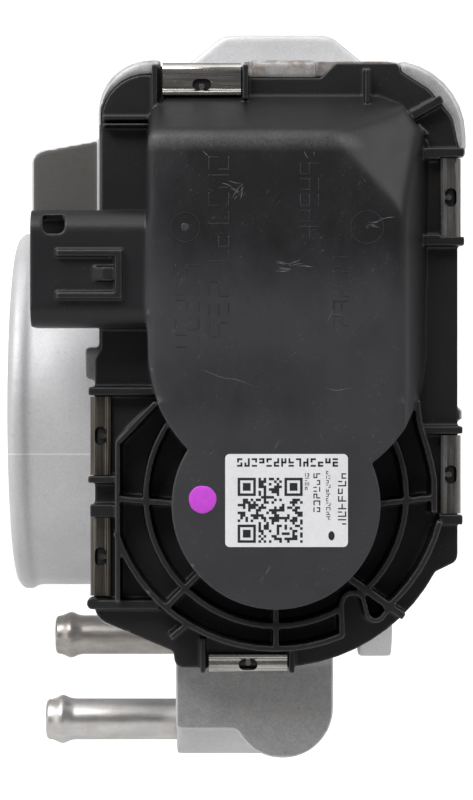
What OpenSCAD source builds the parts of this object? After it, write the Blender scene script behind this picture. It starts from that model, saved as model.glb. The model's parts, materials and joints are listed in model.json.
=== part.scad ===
// Electronic throttle body: cast housing, butterfly, gear train, drive motor and moulded gear cover.
// Each piece is drawn about the crossing of the bore axis (X) and the throttle shaft axis (Y), then
// moved so that the origin is the centre of the bore at the face of the engine flange.
// +X leaves towards the engine, -Y is the gear cover's side and +Z is up.

/* [Bore] */
// Radius of the air bore
bore_r = 30; // [24:0.5:38]
// Wall of the inlet spigot
spigot_wall = 4.6; // [3.5:0.1:5.5]
// How far the hose bead stands above the spigot
bead_rise = 0.8; // [0.5:0.1:1.5]
// Shaft axis to the inlet mouth
inlet_len = 50.7; // [47:0.1:75]
// Shaft axis to the engine flange's face
outlet_len = 21.8; // [18:0.1:30]

/* [Engine flange] */
// Thickness of the flange
flange_t = 6.3; // [5:0.1:9]
// Bolt spacing front to back
bolt_span_y = 55; // [52:0.5:58]
// Bore axis to the lower bolts
bolt_low = 39; // [37:0.5:46]
// Bore axis to the upper bolts, below the motor
bolt_high = 27; // [26.5:0.5:28]
// Radius of the bolt holes
bolt_hole_r = 3.3; // [2.6:0.1:4.2]
// Radius of the ears round the bolt holes
ear_r = 7.5; // [6.5:0.1:9]

/* [Butterfly] */
// Thickness of the throttle plate
plate_t = 2; // [1.5:0.1:2.6]
// Gap between plate and bore
plate_gap = 0.1; // [0.06:0.01:0.3]
// Opening of the plate at rest, in degrees
rest_open = 7; // [4:0.5:9]
// Radius of the shaft across the bore
shaft_r = 4.5; // [4.3:0.1:5.4]
// Radius of the shaft's bearing journals
journal_r = 4; // [3.6:0.1:4.2]

/* [Drive] */
// Radius of the motor can
motor_r = 16.5; // [14:0.5:20]
// Length of the motor can
motor_len = 53; // [48:0.5:64]
// Wall between the bore and the motor's pocket
bore_pocket_wall = 4.6; // [4.2:0.1:6]
// Radius of the idler's pin
pin_r = 2; // [1.7:0.1:2.2]
// Wall between the idler's pin and the motor's pocket
pin_wall = 1.6; // [1.2:0.1:2]
// Teeth on the motor pinion
pinion_teeth = 11; // [11:1:13]
// Teeth on the idler's large wheel
wheel_teeth = 40; // [38:1:42]
// Teeth on the idler's small wheel
small_teeth = 12; // [12:1:14]
// Teeth on a full circle of the throttle gear
sector_teeth = 50; // [48:1:52]
// Face width of the motor pinion and of the wheel it drives
wheel_face = 4.2; // [3.4:0.1:4.6]
// Face width of the throttle gear and of the small wheel that drives it
sector_face = 5.2; // [4.2:0.1:5.6]

/* [Gear case] */
// Bore surface to the floor of the gear case
floor_over_bore = 8.5; // [8.5:0.1:11]
// Depth of the gear case
case_depth = 11.5; // [11.5:0.1:15]
// Gap between the throttle gear's tips and the wall of the case
case_gap = 2.6; // [1.5:0.1:4]
// Thickness of the wall of the case
case_wall = 2.6; // [2.2:0.1:3.4]
// How far the rim stands out from the wall
rim_out = 2.4; // [2:0.1:3]
// Thickness of the rim
rim_t = 3; // [2.4:0.1:4]

/* [Gear cover] */
// Thickness of the cover's base plate
cover_t = 3; // [2.6:0.1:4]
// Height of the cover's dome above its base plate
dome_rise = 13; // [12:0.5:17]
// Wall of the dome
cover_wall = 2.2; // [1.8:0.1:2.8]
// Height of the stiffening ribs above the base plate
rib_rise = 7; // [4:0.5:9]
// Thickness of the stiffening ribs
rib_t = 1; // [0.8:0.1:1.5]
// Height of the connector's opening
plug_h = 20.9; // [18:0.1:24]
// Length of the connector outside the dome
plug_len = 20.8; // [17:0.1:26]

/* [Clips] */
// Length of a cover clip along the rim
clip_len = 14.2; // [12:0.1:14.4]
// Sheet thickness of a clip
clip_t = 0.6; // [0.4:0.05:0.7]
// How far a clip reaches over the cover
clip_reach = 3.2; // [2.8:0.1:3.6]
// How much further the top clip reaches
clip_top_extra = 2.2; // [1:0.1:2.6]

/* [Coolant] */
// Outer radius of a coolant pipe
pipe_r = 3.85; // [3.5:0.05:4.4]
// Inner radius of a coolant pipe
pipe_bore_r = 2.9; // [2.4:0.05:3.1]
// Shaft axis to the pipes' mouths
pipe_reach = 43.3; // [36:0.1:55]

/* [Hidden] */
$fn = 72;
fit = 0.02;
slide = 0.1;
running = 0.03;
pressure = 25;
lash = 0.16;
spigot_r = bore_r + spigot_wall;
bead_r = spigot_r + bead_rise;
body_r = spigot_r + 1.4;
bolt_places = [for (y = [-1, 1]) for (z = [-bolt_low, bolt_high]) [y * bolt_span_y / 2, z]];
motor_pocket_r = motor_r + 0.3;
first_centres = motor_pocket_r + pin_wall + pin_r;
motor_z = bore_r + bore_pocket_wall + motor_pocket_r;
idler_z = motor_z - first_centres;
first_module = 2 * first_centres / (pinion_teeth + wheel_teeth);
second_module = 2 * idler_z / (small_teeth + sector_teeth);
sector_tip_r = second_module * (sector_teeth / 2 + 0.9);
// Planes of the gear case, from the bore towards the cover
floor_y = -(bore_r + floor_over_bore);
floor_t = 3;
gasket_t = 1;
joint_y = floor_y - case_depth;
plate_y = joint_y - cover_t;
rib_y = plate_y - rib_rise;
dome_y = plate_y - dome_rise;
wheel_y = floor_y - 1;
sector_y = wheel_y - wheel_face - 0.8;
// Half width of the case's rim about the shaft
rim_half = sector_tip_r + case_gap + case_wall + rim_out;
rim_top = motor_z + 12.6;
low_c = [-0.3, -13.6];
low_r = rim_half - 0.5;
low_z = low_c[1] - low_r;
// Bearings of the throttle shaft
bearing_r = 9.5;
bearing_w = 6;
seal_r = 7;
seal_w = 1.5;
needle_r = journal_r + 2;
needle_w = 8;
rear_y = bore_r + 1.5;
rear_boss_r = 10.5;
rear_end_y = rear_y + seal_w + needle_w;
outer_race = 1.8;
inner_race = 1.6;
cup_wall = 0.6;
// Screws that hold the plate in the shaft's slot
plate_screw_y = bore_r * 0.42;
plate_screw_r = 1.9;
plate_head_r = 3.4;
plate_head_t = 1.4;
// Motor, which goes in from the back; Y runs from the wall that it is screwed to
plate_front_y = floor_y + floor_t;
can_front_y = plate_front_y + 2;
can_back_y = can_front_y + motor_len;
pocket_back_y = can_back_y + 1.5;
cap_t = 3;
cap_spigot = 1.2;
motor_shaft_r = 1.6;
can_wall = 1.5;
front_bush_r = 3.4;
rear_bush_r = 4;
nose_r = 5.2;
motor_screw_at = [11.5, motor_z + 4];
motor_screw_r = 1.6;
// Half width of the barrel's square, the easing of its corners and its cap's screws on the diagonal
barrel_half = motor_pocket_r + 3.4;
barrel_ease = 4;
cap_screw = (motor_pocket_r + 3.2) * sqrt(0.5);
cap_screw_r = 1.5;
cap_head_r = 2.3;
// Coolant passages below the bore
low_pipe = [floor_y + 6.5, -58];
high_pipe = [-4, -44.4];
passage_x = 1;
passage_z = -54.6;
passage_r = 4;
pipe_bead = 0.75;
pipe_boss_r = pipe_r + 2.6;
gallery_back_y = high_pipe[0] + passage_r + 6;
lug_y = floor_y - 5.5;
lug_r = 9.4;
// Hub, spring and stops of the throttle gear
hub_r = 9.4;
spring_r = 11.6;
spring_wire_r = 0.65;
spring_turns = 3;
spring_fixed_a = 300;
spring_back_y = floor_y - 1.3;
spring_front_y = sector_y + 1.1;
stop_x = sector_tip_r - 4.9;
stop_y = sector_y - sector_face / 2;
stop_z = -5.9;
stop_screw_r = 2.4;
insert_t = 2.2;
insert_r = 7.6;
insert_y = sector_y - 0.6;
// The sector covers the swing to either stop with two teeth to spare
sector_first = -2;
sector_last = 13;
pin_end_y = sector_y - sector_face - 4;
bush_r = pin_r + 1.1;
wheel_hole_ring = (first_module * (wheel_teeth / 2 - 1.2) + second_module * small_teeth / 2) / 2;
// Armature and the terminals that feed its brushes
core_r = motor_r - 4.2;
core_front_y = can_front_y + 12;
core_back_y = can_back_y - 8;
slot_at = core_r - 4.6;
slot_r = 2.6;
terminal_at = [11, motor_z - 3.4];
terminal_size = [3.2, 0.8];
// Sensor in the dome
magnet_y = sector_y - sector_face;
magnet_r = hub_r - 2.6;
board_y = dome_y + cover_wall + 3;
board_t = 1.4;
board_posts = [[-13, -3], [-13, 15], [15, 15], [14, -3]];
// Shapes of the cover in X and Z
dome_c = [1.6, 11];
dome_r = 24.9;
dome_left = dome_c[0] - dome_r;
dome_right = dome_c[0] + dome_r;
boss_c = [-0.5, -16.4];
boss_r = 18.5;
inner_c = [-0.4, -15];
inner_ring_r = 23.3;
outer_c = [-0.4, -12.2];
outer_ring_r = 30.2;
// Connector: its centre in Y and Z, its depth, and the planes of its mouth and its front wall
plug_c = [plate_y - 4, 25.65];
plug_w = 16;
plug_wall = 1.5;
plug_mouth = dome_left - plug_len;
plug_face = plug_c[0] - plug_w / 2;
pin_w = 1.8;
pin_t = 0.8;
pin_pitch = 5.2;
pin_row = 2.6;
// Clips: bend, hook behind the rim, and for each the middle of its outer face in X and Z, the
// direction that it faces in degrees and its reach
clip_gap = 0.06;
clip_bend = 1.5;
clip_hook = 2;
clip_back_y = joint_y + rim_t + clip_gap;
clip_top = [[-13.8, rim_top - 1.2], 90, clip_reach + clip_top_extra];
clip_bottom = [[-5.4, low_z], 270, clip_reach - 0.4];
clip_left_upper = [[-rim_half + 0.1, -4.3], 180, clip_reach];
clip_left_lower = [[-rim_half + 0.1, -26.2], 180, clip_reach];
clip_right_upper = [[rim_half - 0.9, 38.9], 0, clip_reach];
clip_right_lower = [[rim_half - 0.9, -11.3], 0, clip_reach];
clips = [clip_top, clip_bottom, clip_left_upper, clip_left_lower, clip_right_upper, clip_right_lower];

// Finishes
cast_alloy = [0.66, 0.66, 0.67];
black_plastic = [0.09, 0.09, 0.1];
bright_steel = [0.74, 0.73, 0.71];
spring_steel = [0.5, 0.46, 0.42];
dark_steel = [0.32, 0.32, 0.33];
brass = [0.76, 0.62, 0.32];
copper = [0.72, 0.42, 0.26];
white_nylon = [0.88, 0.86, 0.8];
black_rubber = [0.05, 0.05, 0.05];
magnet_grey = [0.25, 0.25, 0.27];
board_green = [0.1, 0.33, 0.2];
label_white = [0.93, 0.93, 0.92];

// ---- Outlines ----

function unit(v) = v / norm(v);
function flat(p) = [p[0], p[1]];
function wrap(a) = a > 180 ? a - 360 : a < -180 ? a + 360 : a;
function bounded(v) = max(-1, min(1, v));

// Points round one corner [x, z, r] of an outline
function corner(p, q, s) = q[2] <= 0 ? [flat(q)] :
    let (
        u = unit(flat(p) - flat(q)),
        v = unit(flat(s) - flat(q)),
        half = acos(bounded(u * v)) / 2,
        c = flat(q) + unit(u + v) * q[2] / sin(half),
        first = flat(q) + u * q[2] / tan(half) - c,
        last = flat(q) + v * q[2] / tan(half) - c,
        start = atan2(first[1], first[0]),
        sweep = wrap(atan2(last[1], last[0]) - start),
        steps = max(1, ceil(abs(sweep) / 12))
    )
    [for (i = [0:steps]) c + q[2] * [cos(start + sweep * i / steps), sin(start + sweep * i / steps)]];

// All points of an outline whose corners are [x, z, r], anticlockwise
function rounded(c) = let (n = len(c))
    [for (i = [0:n - 1]) each corner(c[(i + n - 1) % n], c[i], c[(i + 1) % n])];

// The same outline moved inwards by d
function moved_in(c, d) = let (n = len(c)) [
    for (i = [0:n - 1])
        let (
            u = unit(flat(c[i]) - flat(c[(i + n - 1) % n])),
            v = unit(flat(c[(i + 1) % n]) - flat(c[i])),
            nu = [-u[1], u[0]],
            nv = [-v[1], v[0]],
            q = flat(c[i]) + d * (nu + nv) / (1 + nu * nv),
            bend = u[0] * v[1] - u[1] * v[0]
        )
        [q[0], q[1], c[i][2] <= 0 ? 0 : max(0.15, c[i][2] - sign(bend) * d)]
];

function arc(c, r, first, last, step) = [for (i = [0:ceil(abs(last - first) / step)])
    let (a = first + (last - first) * i / ceil(abs(last - first) / step)) c + r * [cos(a), sin(a)]];
function sharp(points) = [for (p = points) [p[0], p[1], 0]];

// Edge of the housing's rim, anticlockwise from the lower left
rim_edge = concat(
    [[-18.8, low_z, 2]],
    sharp(arc(low_c, low_r, -88, -28, 6)),
    [
        [rim_half - 0.8, low_c[1] - 13.6, 2.2],
        [rim_half - 0.8, motor_z - 6.2, 0.5],
        [rim_half + 0.7, motor_z - 4.7, 0.5],
        [rim_half + 0.7, rim_top, 13.7],
        [-rim_half + 0.9, rim_top, 9.5],
        [-rim_half + 0.9, 11.4, 1],
        [-rim_half + 0.1, 9.2, 1],
        [-rim_half + 0.1, low_z + 8.8, 3.5],
        [-19, low_z + 3, 1.5]
    ]
);

// Edge of the cover's base plate, anticlockwise from the lower left
cover_edge = concat(
    [[-18.7, low_z + 0.2, 1.8]],
    sharp(arc(low_c, low_r - 0.3, -88, -28, 6)),
    [
        [rim_half - 0.9, low_c[1] - 13.4, 1.8],
        [rim_half - 0.9, motor_z - 3.1, 2],
        [rim_half - 2, motor_z + 2, 3],
        [rim_half - 6.1, motor_z + 7, 3],
        [22.4, rim_top - 2.4, 1],
        [21.8, rim_top - 0.7, 0.8],
        [10.4, rim_top - 0.7, 1.2],
        [7.7, rim_top - 3.4, 0.8],
        [-5.4, rim_top - 3.4, 0.4],
        [-6, rim_top - 1.2, 0.3],
        [-21.9, rim_top - 1.2, 0.3],
        [-22.4, rim_top - 2.8, 0.4],
        [-rim_half + 1.5, rim_top - 2.8, 8.2],
        [-rim_half + 1.5, 11.6, 0.8],
        [-rim_half + 0.3, 9.4, 0.8],
        [-rim_half + 0.3, low_z + 9.2, 3.4],
        [-18.9, low_z + 3.2, 1.2]
    ]
);

// ---- Placing ----

module place() {
    translate([-outlet_len, 0, 0]) children();
}

// An outline in X and Z, drawn out between two planes of Y
module slab(y_a, y_b) {
    translate([0, max(y_a, y_b), 0]) rotate([90, 0, 0]) linear_extrude(abs(y_a - y_b)) children();
}

// An outline in Y and Z, drawn out between two planes of X
module slab_x(x_a, x_b) {
    translate([min(x_a, x_b), 0, 0]) rotate([90, 0, 90]) linear_extrude(abs(x_a - x_b)) children();
}

module rod_y(at, r, y_a, y_b) {
    slab(y_a, y_b) translate(at) circle(r);
}

module rod_x(at, r, x_a, x_b) {
    slab_x(x_a, x_b) translate(at) circle(r);
}

// A washer or tube round a Y axis
module tube_y(at, outer, inner, y_a, y_b) {
    slab(y_a, y_b) translate(at) ring(outer, inner);
}

module ring(outer, inner) {
    difference() {
        circle(outer);
        circle(inner);
    }
}

module box(from, to) {
    translate([min(from[0], to[0]), min(from[1], to[1]), min(from[2], to[2])])
        cube([abs(to[0] - from[0]), abs(to[1] - from[1]), abs(to[2] - from[2])]);
}

// Everything beyond a plane through a point
module beyond(point, normal) {
    n = unit(normal);
    translate(point) rotate([0, acos(n[2]), atan2(n[1], n[0])]) translate([-90, -90, 0]) cube([180, 180, 60]);
}

module bar(p, q, w) {
    run = q - p;
    translate(p) rotate(atan2(run[1], run[0])) translate([0, -w / 2]) square([norm(run), w]);
}

// A thin rib that follows a list of points
module trace(points, w) {
    for (i = [0:len(points) - 2]) {
        bar(points[i], points[i + 1], w);
    }
    for (i = [1:len(points) - 2]) {
        translate(points[i]) circle(w / 2, $fn = 12);
    }
}

// A curved rib between two angles, as one outline
module arc_rib(c, r, first, last, w) {
    polygon(concat(arc(c, r + w / 2, first, last, 6), arc(c, r - w / 2, last, first, 6)));
}

// ---- Gears ----

function inv(a) = tan(a) * 180 / PI - a;
// Half the angle of a tooth at radius r
function tooth_half(r, teeth, m) =
    let (pitch = m * teeth / 2, base = pitch * cos(pressure))
    90 / teeth - lash / pitch * 90 / PI + inv(pressure) - (r > base ? inv(acos(base / r)) : 0);
function polar(r, a) = [r * cos(a), r * sin(a)];
function tooth(teeth, m, a) =
    let (
        pitch = m * teeth / 2,
        root = pitch - 1.2 * m,
        tip = pitch + 0.9 * m,
        radii = [for (i = [0:4]) root + (tip - root) * i / 4]
    )
    concat(
        [for (r = radii) polar(r, a - tooth_half(r, teeth, m))],
        [for (i = [4:-1:0]) polar(radii[i], a + tooth_half(radii[i], teeth, m))]
    );
function teeth_points(teeth, m, phase, first, last) =
    [for (i = [first:last]) each tooth(teeth, m, phase + i * 360 / teeth)];

module gear(teeth, m, phase) {
    polygon(teeth_points(teeth, m, phase, 0, teeth - 1));
}

// ---- Housing ----

// Square of the motor's barrel with its corners cut off and eased
module motor_square(half) {
    cut_x = 0.525 * half;
    cut_z = 0.61 * half;
    translate([0, motor_z]) polygon(rounded([
        [half, -cut_z, barrel_ease],
        [half, cut_z, barrel_ease],
        [cut_x, half, barrel_ease],
        [-cut_x, half, barrel_ease],
        [-half, cut_z, barrel_ease],
        [-half, -cut_z, barrel_ease],
        [-cut_x, -half, barrel_ease],
        [cut_x, -half, barrel_ease]
    ]));
}

module flange_outline() {
    circle(body_r + 4);
    for (spot = bolt_places) {
        bar([0, 0], spot, 2 * ear_r);
        translate(spot) circle(ear_r);
    }
}

module barrel() {
    rotate([0, 90, 0]) rotate_extrude() polygon([
        [0, -inlet_len],
        [spigot_r - 0.6, -inlet_len],
        [bead_r, -inlet_len + 1.2],
        [bead_r, -inlet_len + 2.9],
        [spigot_r, -inlet_len + 3.9],
        [spigot_r, -rim_half + 1.5],
        [body_r, -rim_half + 4.5],
        [body_r, outlet_len - 1],
        [0, outlet_len - 1]
    ]);
}

// Solid shape of the casting before it is bored
module casting() {
    barrel();
    slab_x(outlet_len - flange_t, outlet_len) flange_outline();
    // Gear case and its rim
    slab(floor_y + floor_t, joint_y) polygon(rounded(moved_in(rim_edge, rim_out)));
    slab(joint_y + rim_t, joint_y) polygon(rounded(rim_edge));
    // Lips that stand up round the cover's corners
    for (step = [[0, 1.3], [0.35, 0.7], [0.9, 0.3]]) {
        slab(joint_y, plate_y + step[1]) rim_lips(step[0]);
    }
    // Nibs that locate the cover's sides
    box([rim_half - 1.6, joint_y + 2.5, -1.4], [rim_half, joint_y, 0.5]);
    box([rim_half - 0.75, joint_y + 1, -1.4], [rim_half, plate_y + 1, 0.5]);
    box([-rim_half - 1.3, joint_y + 2.5, -12.2], [-rim_half + 0.6, joint_y, -9.9]);
    // Motor barrel with its shoulder
    slab(floor_y + 1, floor_y + 16) motor_square(barrel_half - 1.2);
    slab(floor_y + 15.5, pocket_back_y + cap_spigot) motor_square(barrel_half);
    // Webs that carry the motor barrel on the bore and the flange
    box([-14, floor_y + 19, bore_r + 1], [outlet_len - 1, 14, motor_z - motor_pocket_r]);
    box([outlet_len - flange_t, -9, bore_r + 2], [outlet_len - 1.5, 9, motor_z - 6]);
    // Shaft bosses
    rod_y([0, 0], bearing_r + 4, floor_y + 0.5, -bore_r + 3);
    rod_y([0, 0], rear_boss_r, bore_r - 3, rear_end_y + 3);
    rod_y([0, idler_z], pin_r + 3, floor_y + 1, floor_y + 6.6);
    // Plate behind the connector and the small ear below it
    slab(joint_y + 5.5, joint_y + 1.3) polygon(rounded([
        [-44.9, 15.6, 2],
        [-rim_half + 4, 15.6, 1],
        [-rim_half + 4, 50.4, 1],
        [-44.9, 47.6, 2.5]
    ]));
    slab(joint_y + 4, joint_y)
        polygon(rounded([[-35.2, 5.7, 1], [-30, 5.7, 1], [-30, 11.9, 1], [-35.2, 11.9, 1]]));
    coolant_block();
}

module rim_lips(inset) {
    intersection() {
        difference() {
            polygon(rounded(moved_in(rim_edge, inset)));
            polygon(rounded(moved_in(cover_edge, -0.15)));
        }
        union() {
            translate([-rim_half, rim_top - 12]) square([12, 14]);
            translate([-4.6, rim_top - 4]) square([11.5, 6]);
            translate([rim_half - 11.3, rim_top - 16]) square([14, 18]);
        }
    }
}

module coolant_block() {
    // Lug at the front end of the gallery
    slab(lug_y, lug_y + 9) polygon(rounded([
        [-18.7, passage_z - 4.1, 1],
        [passage_x, passage_z - 4.1, 0.3],
        [passage_x + lug_r, passage_z, 0.5],
        [passage_x + lug_r, low_z + 2, 1],
        [-18.7, low_z + 2, 1]
    ]));
    rod_y([passage_x, passage_z], lug_r, lug_y, lug_y + 9);
    rod_y([passage_x, passage_z], passage_r + 3.2, lug_y + 6, gallery_back_y);
    rod_x(low_pipe, pipe_boss_r, -18.7, passage_x);
    rod_x(high_pipe, pipe_boss_r, -19.5, passage_x + 6);
    // Webs between gallery, pipes and barrel, clear of the way to the lower bolts
    box([passage_x - 7, high_pipe[0] - 7, -bore_r - 2], [passage_x + 7, high_pipe[0] + 7, passage_z]);
    box([-17.5, lug_y + 1, low_z + 4], [passage_x, low_pipe[0] + 3, low_pipe[1]]);
    box([-14, high_pipe[0] - 5, -bore_r - 2], [passage_x, high_pipe[0] + 5, high_pipe[1]]);
    slab(lug_y + 1, floor_y + floor_t) polygon([
        [-18.5, low_z + 1],
        [passage_x + lug_r - 0.3, low_z + 1],
        [passage_x + lug_r - 0.3, low_z + 12],
        [-18.5, low_z + 12]
    ]);
}

module housing_cuts() {
    // Air bore with a lead-in at the mouth
    rod_x([0, 0], bore_r, -inlet_len - 1, outlet_len + 1);
    translate([-inlet_len - 0.01, 0, 0]) rotate([0, 90, 0]) cylinder(h = 1.5, r1 = bore_r + 1.5, r2 = bore_r);
    // Groove for the intake seal in the flange's face
    translate([outlet_len - 1.8, 0, 0]) rotate([0, 90, 0]) linear_extrude(3) ring(bore_r + 5, bore_r + 2.4);
    for (spot = bolt_places) {
        rod_x(spot, bolt_hole_r, outlet_len - flange_t - 1, outlet_len + 1);
        rod_x(spot, bolt_hole_r + 2.2, outlet_len - flange_t - 12, outlet_len - flange_t);
    }
    // Inside of the gear case
    slab(floor_y, joint_y - 1) polygon(rounded(moved_in(rim_edge, rim_out + case_wall)));
    gasket_ring();
    // Shaft, bearings and seals
    rod_y([0, 0], bearing_r, floor_y - 1, floor_y + bearing_w);
    rod_y([0, 0], seal_r, floor_y - 1, floor_y + bearing_w + seal_w);
    rod_y([0, 0], shaft_r + slide, floor_y, rear_y + 1);
    rod_y([0, 0], seal_r, rear_y, rear_y + seal_w);
    rod_y([0, 0], needle_r, rear_y + 1, rear_end_y);
    rod_y([0, 0], needle_r + 1, rear_end_y, rear_end_y + 4);
    rod_y([0, idler_z], pin_r, floor_y - 1, floor_y + 5.4);
    // Motor pocket, with holes in its front wall for the nose, the screws and the terminals
    rod_y([0, motor_z], motor_pocket_r, plate_front_y, pocket_back_y + cap_spigot + 1);
    rod_y([0, motor_z], nose_r + 0.15, floor_y - 1, plate_front_y + 1);
    for (side = [-1, 1]) {
        at = [side * motor_screw_at[0], motor_screw_at[1]];
        rod_y(at, motor_screw_r + 0.2, floor_y - 1, plate_front_y + 1);
    }
    slab(floor_y - 1, plate_front_y + 1) terminal_sections(0.7);
    slab(pocket_back_y - 6, pocket_back_y + cap_spigot + 1) cap_screws(cap_screw_r);
    // Coolant gallery
    rod_y([passage_x, passage_z], passage_r, low_pipe[0] - 4, gallery_back_y + 1);
    rod_y([passage_x, passage_z], passage_r + 1.5, gallery_back_y - 2.5, gallery_back_y + 1);
    rod_x(low_pipe, pipe_bore_r, -19, passage_x);
    rod_x(low_pipe, pipe_r, -19, -8);
    rod_x(high_pipe, pipe_bore_r, -20, passage_x);
    rod_x(high_pipe, pipe_r, -20, -9);
    translate([passage_x, high_pipe[0], passage_z]) cylinder(h = high_pipe[1] - passage_z, r = pipe_bore_r);
    // Flats that let the clips pass the rim
    clip_cuts();
}

module cap_screws(r) {
    for (x = [-1, 1]) {
        for (z = [-1, 1]) {
            translate([x * cap_screw, motor_z + z * cap_screw]) circle(r);
        }
    }
}

module gasket_ring() {
    slab(joint_y, joint_y + gasket_t) difference() {
        polygon(rounded(moved_in(rim_edge, rim_out + 0.5)));
        polygon(rounded(moved_in(rim_edge, rim_out + case_wall - 0.6)));
    }
}

// Stops, posts and bearing seats that stand on the floor of the case
module floor_bosses() {
    tube_y([0, 0], bearing_r + 1.6, bearing_r, floor_y + 0.5, floor_y - 0.4);
    difference() {
        box([-stop_x - 4.6, floor_y + 0.5, stop_z - 11],
            [-stop_x + 4.6, joint_y + gasket_t + 0.2, stop_z - 4.6]);
        translate([-stop_x, stop_y, stop_z - 20]) cylinder(h = 30, r = stop_screw_r);
    }
    box([stop_x - 4, floor_y + 0.5, -10], [sector_tip_r + case_gap + 0.5, joint_y + gasket_t + 0.2, -3.1]);
    rod_y(polar(spring_r + 3.4, spring_fixed_a - 8), 1.5, floor_y + 0.5, floor_y - 2.2);
}

module throttle_housing() {
    color(cast_alloy) place() {
        difference() {
            casting();
            housing_cuts();
        }
        floor_bosses();
    }
}

// ---- Shaft, plate and bearings ----

module throttle_shaft() {
    color(bright_steel) place() difference() {
        union() {
            rod_y([0, 0], shaft_r, -bore_r - 1, rear_y + seal_w);
            rod_y([0, 0], journal_r, magnet_y + 1.5, rear_end_y - 0.5);
        }
        rotate([0, rest_open, 0]) {
            box([-plate_t / 2, -bore_r + 0.2, -shaft_r - 1], [plate_t / 2, bore_r - 0.2, shaft_r + 1]);
            for (side = [-1, 1]) {
                rod_x([side * plate_screw_y, 0], plate_screw_r, -shaft_r - 1, shaft_r + 1);
                rod_x([side * plate_screw_y, 0], plate_head_r, -shaft_r - 1, -shaft_r + plate_head_t);
            }
        }
    }
}

module throttle_plate() {
    color(brass) place() rotate([0, rest_open, 0]) difference() {
        rod_x([0, 0], bore_r - plate_gap, -plate_t / 2, plate_t / 2);
        for (side = [-1, 1]) {
            rod_x([side * plate_screw_y, 0], plate_screw_r, -shaft_r, shaft_r);
        }
    }
}

module plate_screws() {
    color(dark_steel) place() rotate([0, rest_open, 0]) for (side = [-1, 1]) {
        rod_x([side * plate_screw_y, 0], plate_screw_r, -shaft_r + plate_head_t, shaft_r - 0.3);
        difference() {
            rod_x([side * plate_screw_y, 0], plate_head_r, -shaft_r - 0.3, -shaft_r + plate_head_t);
            rod_x([side * plate_screw_y, 0], 1.2, -shaft_r - 1, -shaft_r + 0.6);
        }
    }
}

module front_bearing_outer() {
    color(bright_steel) place()
        tube_y([0, 0], bearing_r, bearing_r - outer_race, floor_y, floor_y + bearing_w);
}

module front_bearing_inner() {
    color(bright_steel) place()
        tube_y([0, 0], journal_r + inner_race, journal_r, floor_y, floor_y + bearing_w);
}

module front_bearing_balls() {
    color(bright_steel) place() for (i = [0:6]) {
        translate([0, floor_y + bearing_w / 2, 0]) rotate([0, i * 360 / 7, 0])
            translate([0, 0, (bearing_r - outer_race + journal_r + inner_race) / 2]) sphere(0.97, $fn = 32);
    }
}

module front_shaft_seal() {
    color(black_rubber) place()
        tube_y([0, 0], seal_r, shaft_r + running, floor_y + bearing_w, floor_y + bearing_w + seal_w);
}

module rear_shaft_seal() {
    color(black_rubber) place() tube_y([0, 0], seal_r, shaft_r + running, rear_y, rear_y + seal_w);
}

module rear_bearing_cup() {
    color(bright_steel) place() difference() {
        rod_y([0, 0], needle_r, rear_y + seal_w, rear_end_y);
        rod_y([0, 0], needle_r - cup_wall, rear_y + seal_w + cup_wall, rear_end_y - cup_wall);
        rod_y([0, 0], journal_r + 0.3, rear_y, rear_end_y + 1);
    }
}

module rear_bearing_needles() {
    needle = (needle_r - cup_wall - journal_r) / 2 - fit;
    color(bright_steel) place() for (i = [0:13]) {
        rod_y(polar(journal_r + needle + fit, i * 360 / 14), needle,
            rear_y + seal_w + 1, rear_end_y - 1);
    }
}

module rear_end_plug() {
    color(bright_steel) place() difference() {
        rod_y([0, 0], needle_r + 1, rear_end_y, rear_end_y + 1.6);
        rod_y([0, 0], needle_r - cup_wall, rear_end_y + 0.8, rear_end_y + 3);
    }
}

// ---- Gear train ----

module throttle_gear() {
    color(white_nylon) place() {
        difference() {
            union() {
                slab(sector_y, sector_y - sector_face) {
                    polygon(concat([[0, 0]],
                        teeth_points(sector_teeth, second_module, 90, sector_first, sector_last)));
                    circle(hub_r + 6.4);
                }
                rod_y([0, 0], hub_r, floor_y - 0.7, sector_y - sector_face);
                rod_y(polar(spring_r + 2.8, 205), 1.2, spring_front_y - 0.6, sector_y - 1);
            }
            rod_y([0, 0], insert_r, insert_y, insert_y - insert_t);
            rod_y([0, 0], journal_r, floor_y, sector_y - sector_face - 1);
            rod_y([0, 0], magnet_r, magnet_y - 1, magnet_y + 1);
            // Weight-saving pocket in the sector
            slab(sector_y - 1.6, sector_y - sector_face - 1) arc_rib([0, 0], hub_r + 7.6, 84, 174, 5);
        }
    }
}

module gear_insert() {
    color(dark_steel) place() tube_y([0, 0], insert_r, journal_r, insert_y, insert_y - insert_t);
}

module sensor_magnet() {
    color(magnet_grey) place() difference() {
        rod_y([0, 0], magnet_r, magnet_y + 1, magnet_y - 3.4);
        rod_y([0, 0], journal_r, magnet_y + 2, magnet_y - 1);
    }
}

module return_spring() {
    steps = 24;
    total = spring_turns * steps;
    pitch = (spring_front_y - spring_back_y) / total;
    leg = polar(spring_r + 3, spring_fixed_a);
    // Centre line: a leg in, the coils and a leg out again
    coils = [for (i = [0:total]) let (p = polar(spring_r, spring_fixed_a + i * 360 / steps))
        [p[0], spring_back_y + pitch * i, p[1]]];
    line = concat([[leg[0], spring_back_y, leg[1]]], coils, [[leg[0], spring_front_y, leg[1]]]);
    color(spring_steel) place() sweep(line, spring_wire_r, 8);
}

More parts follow.
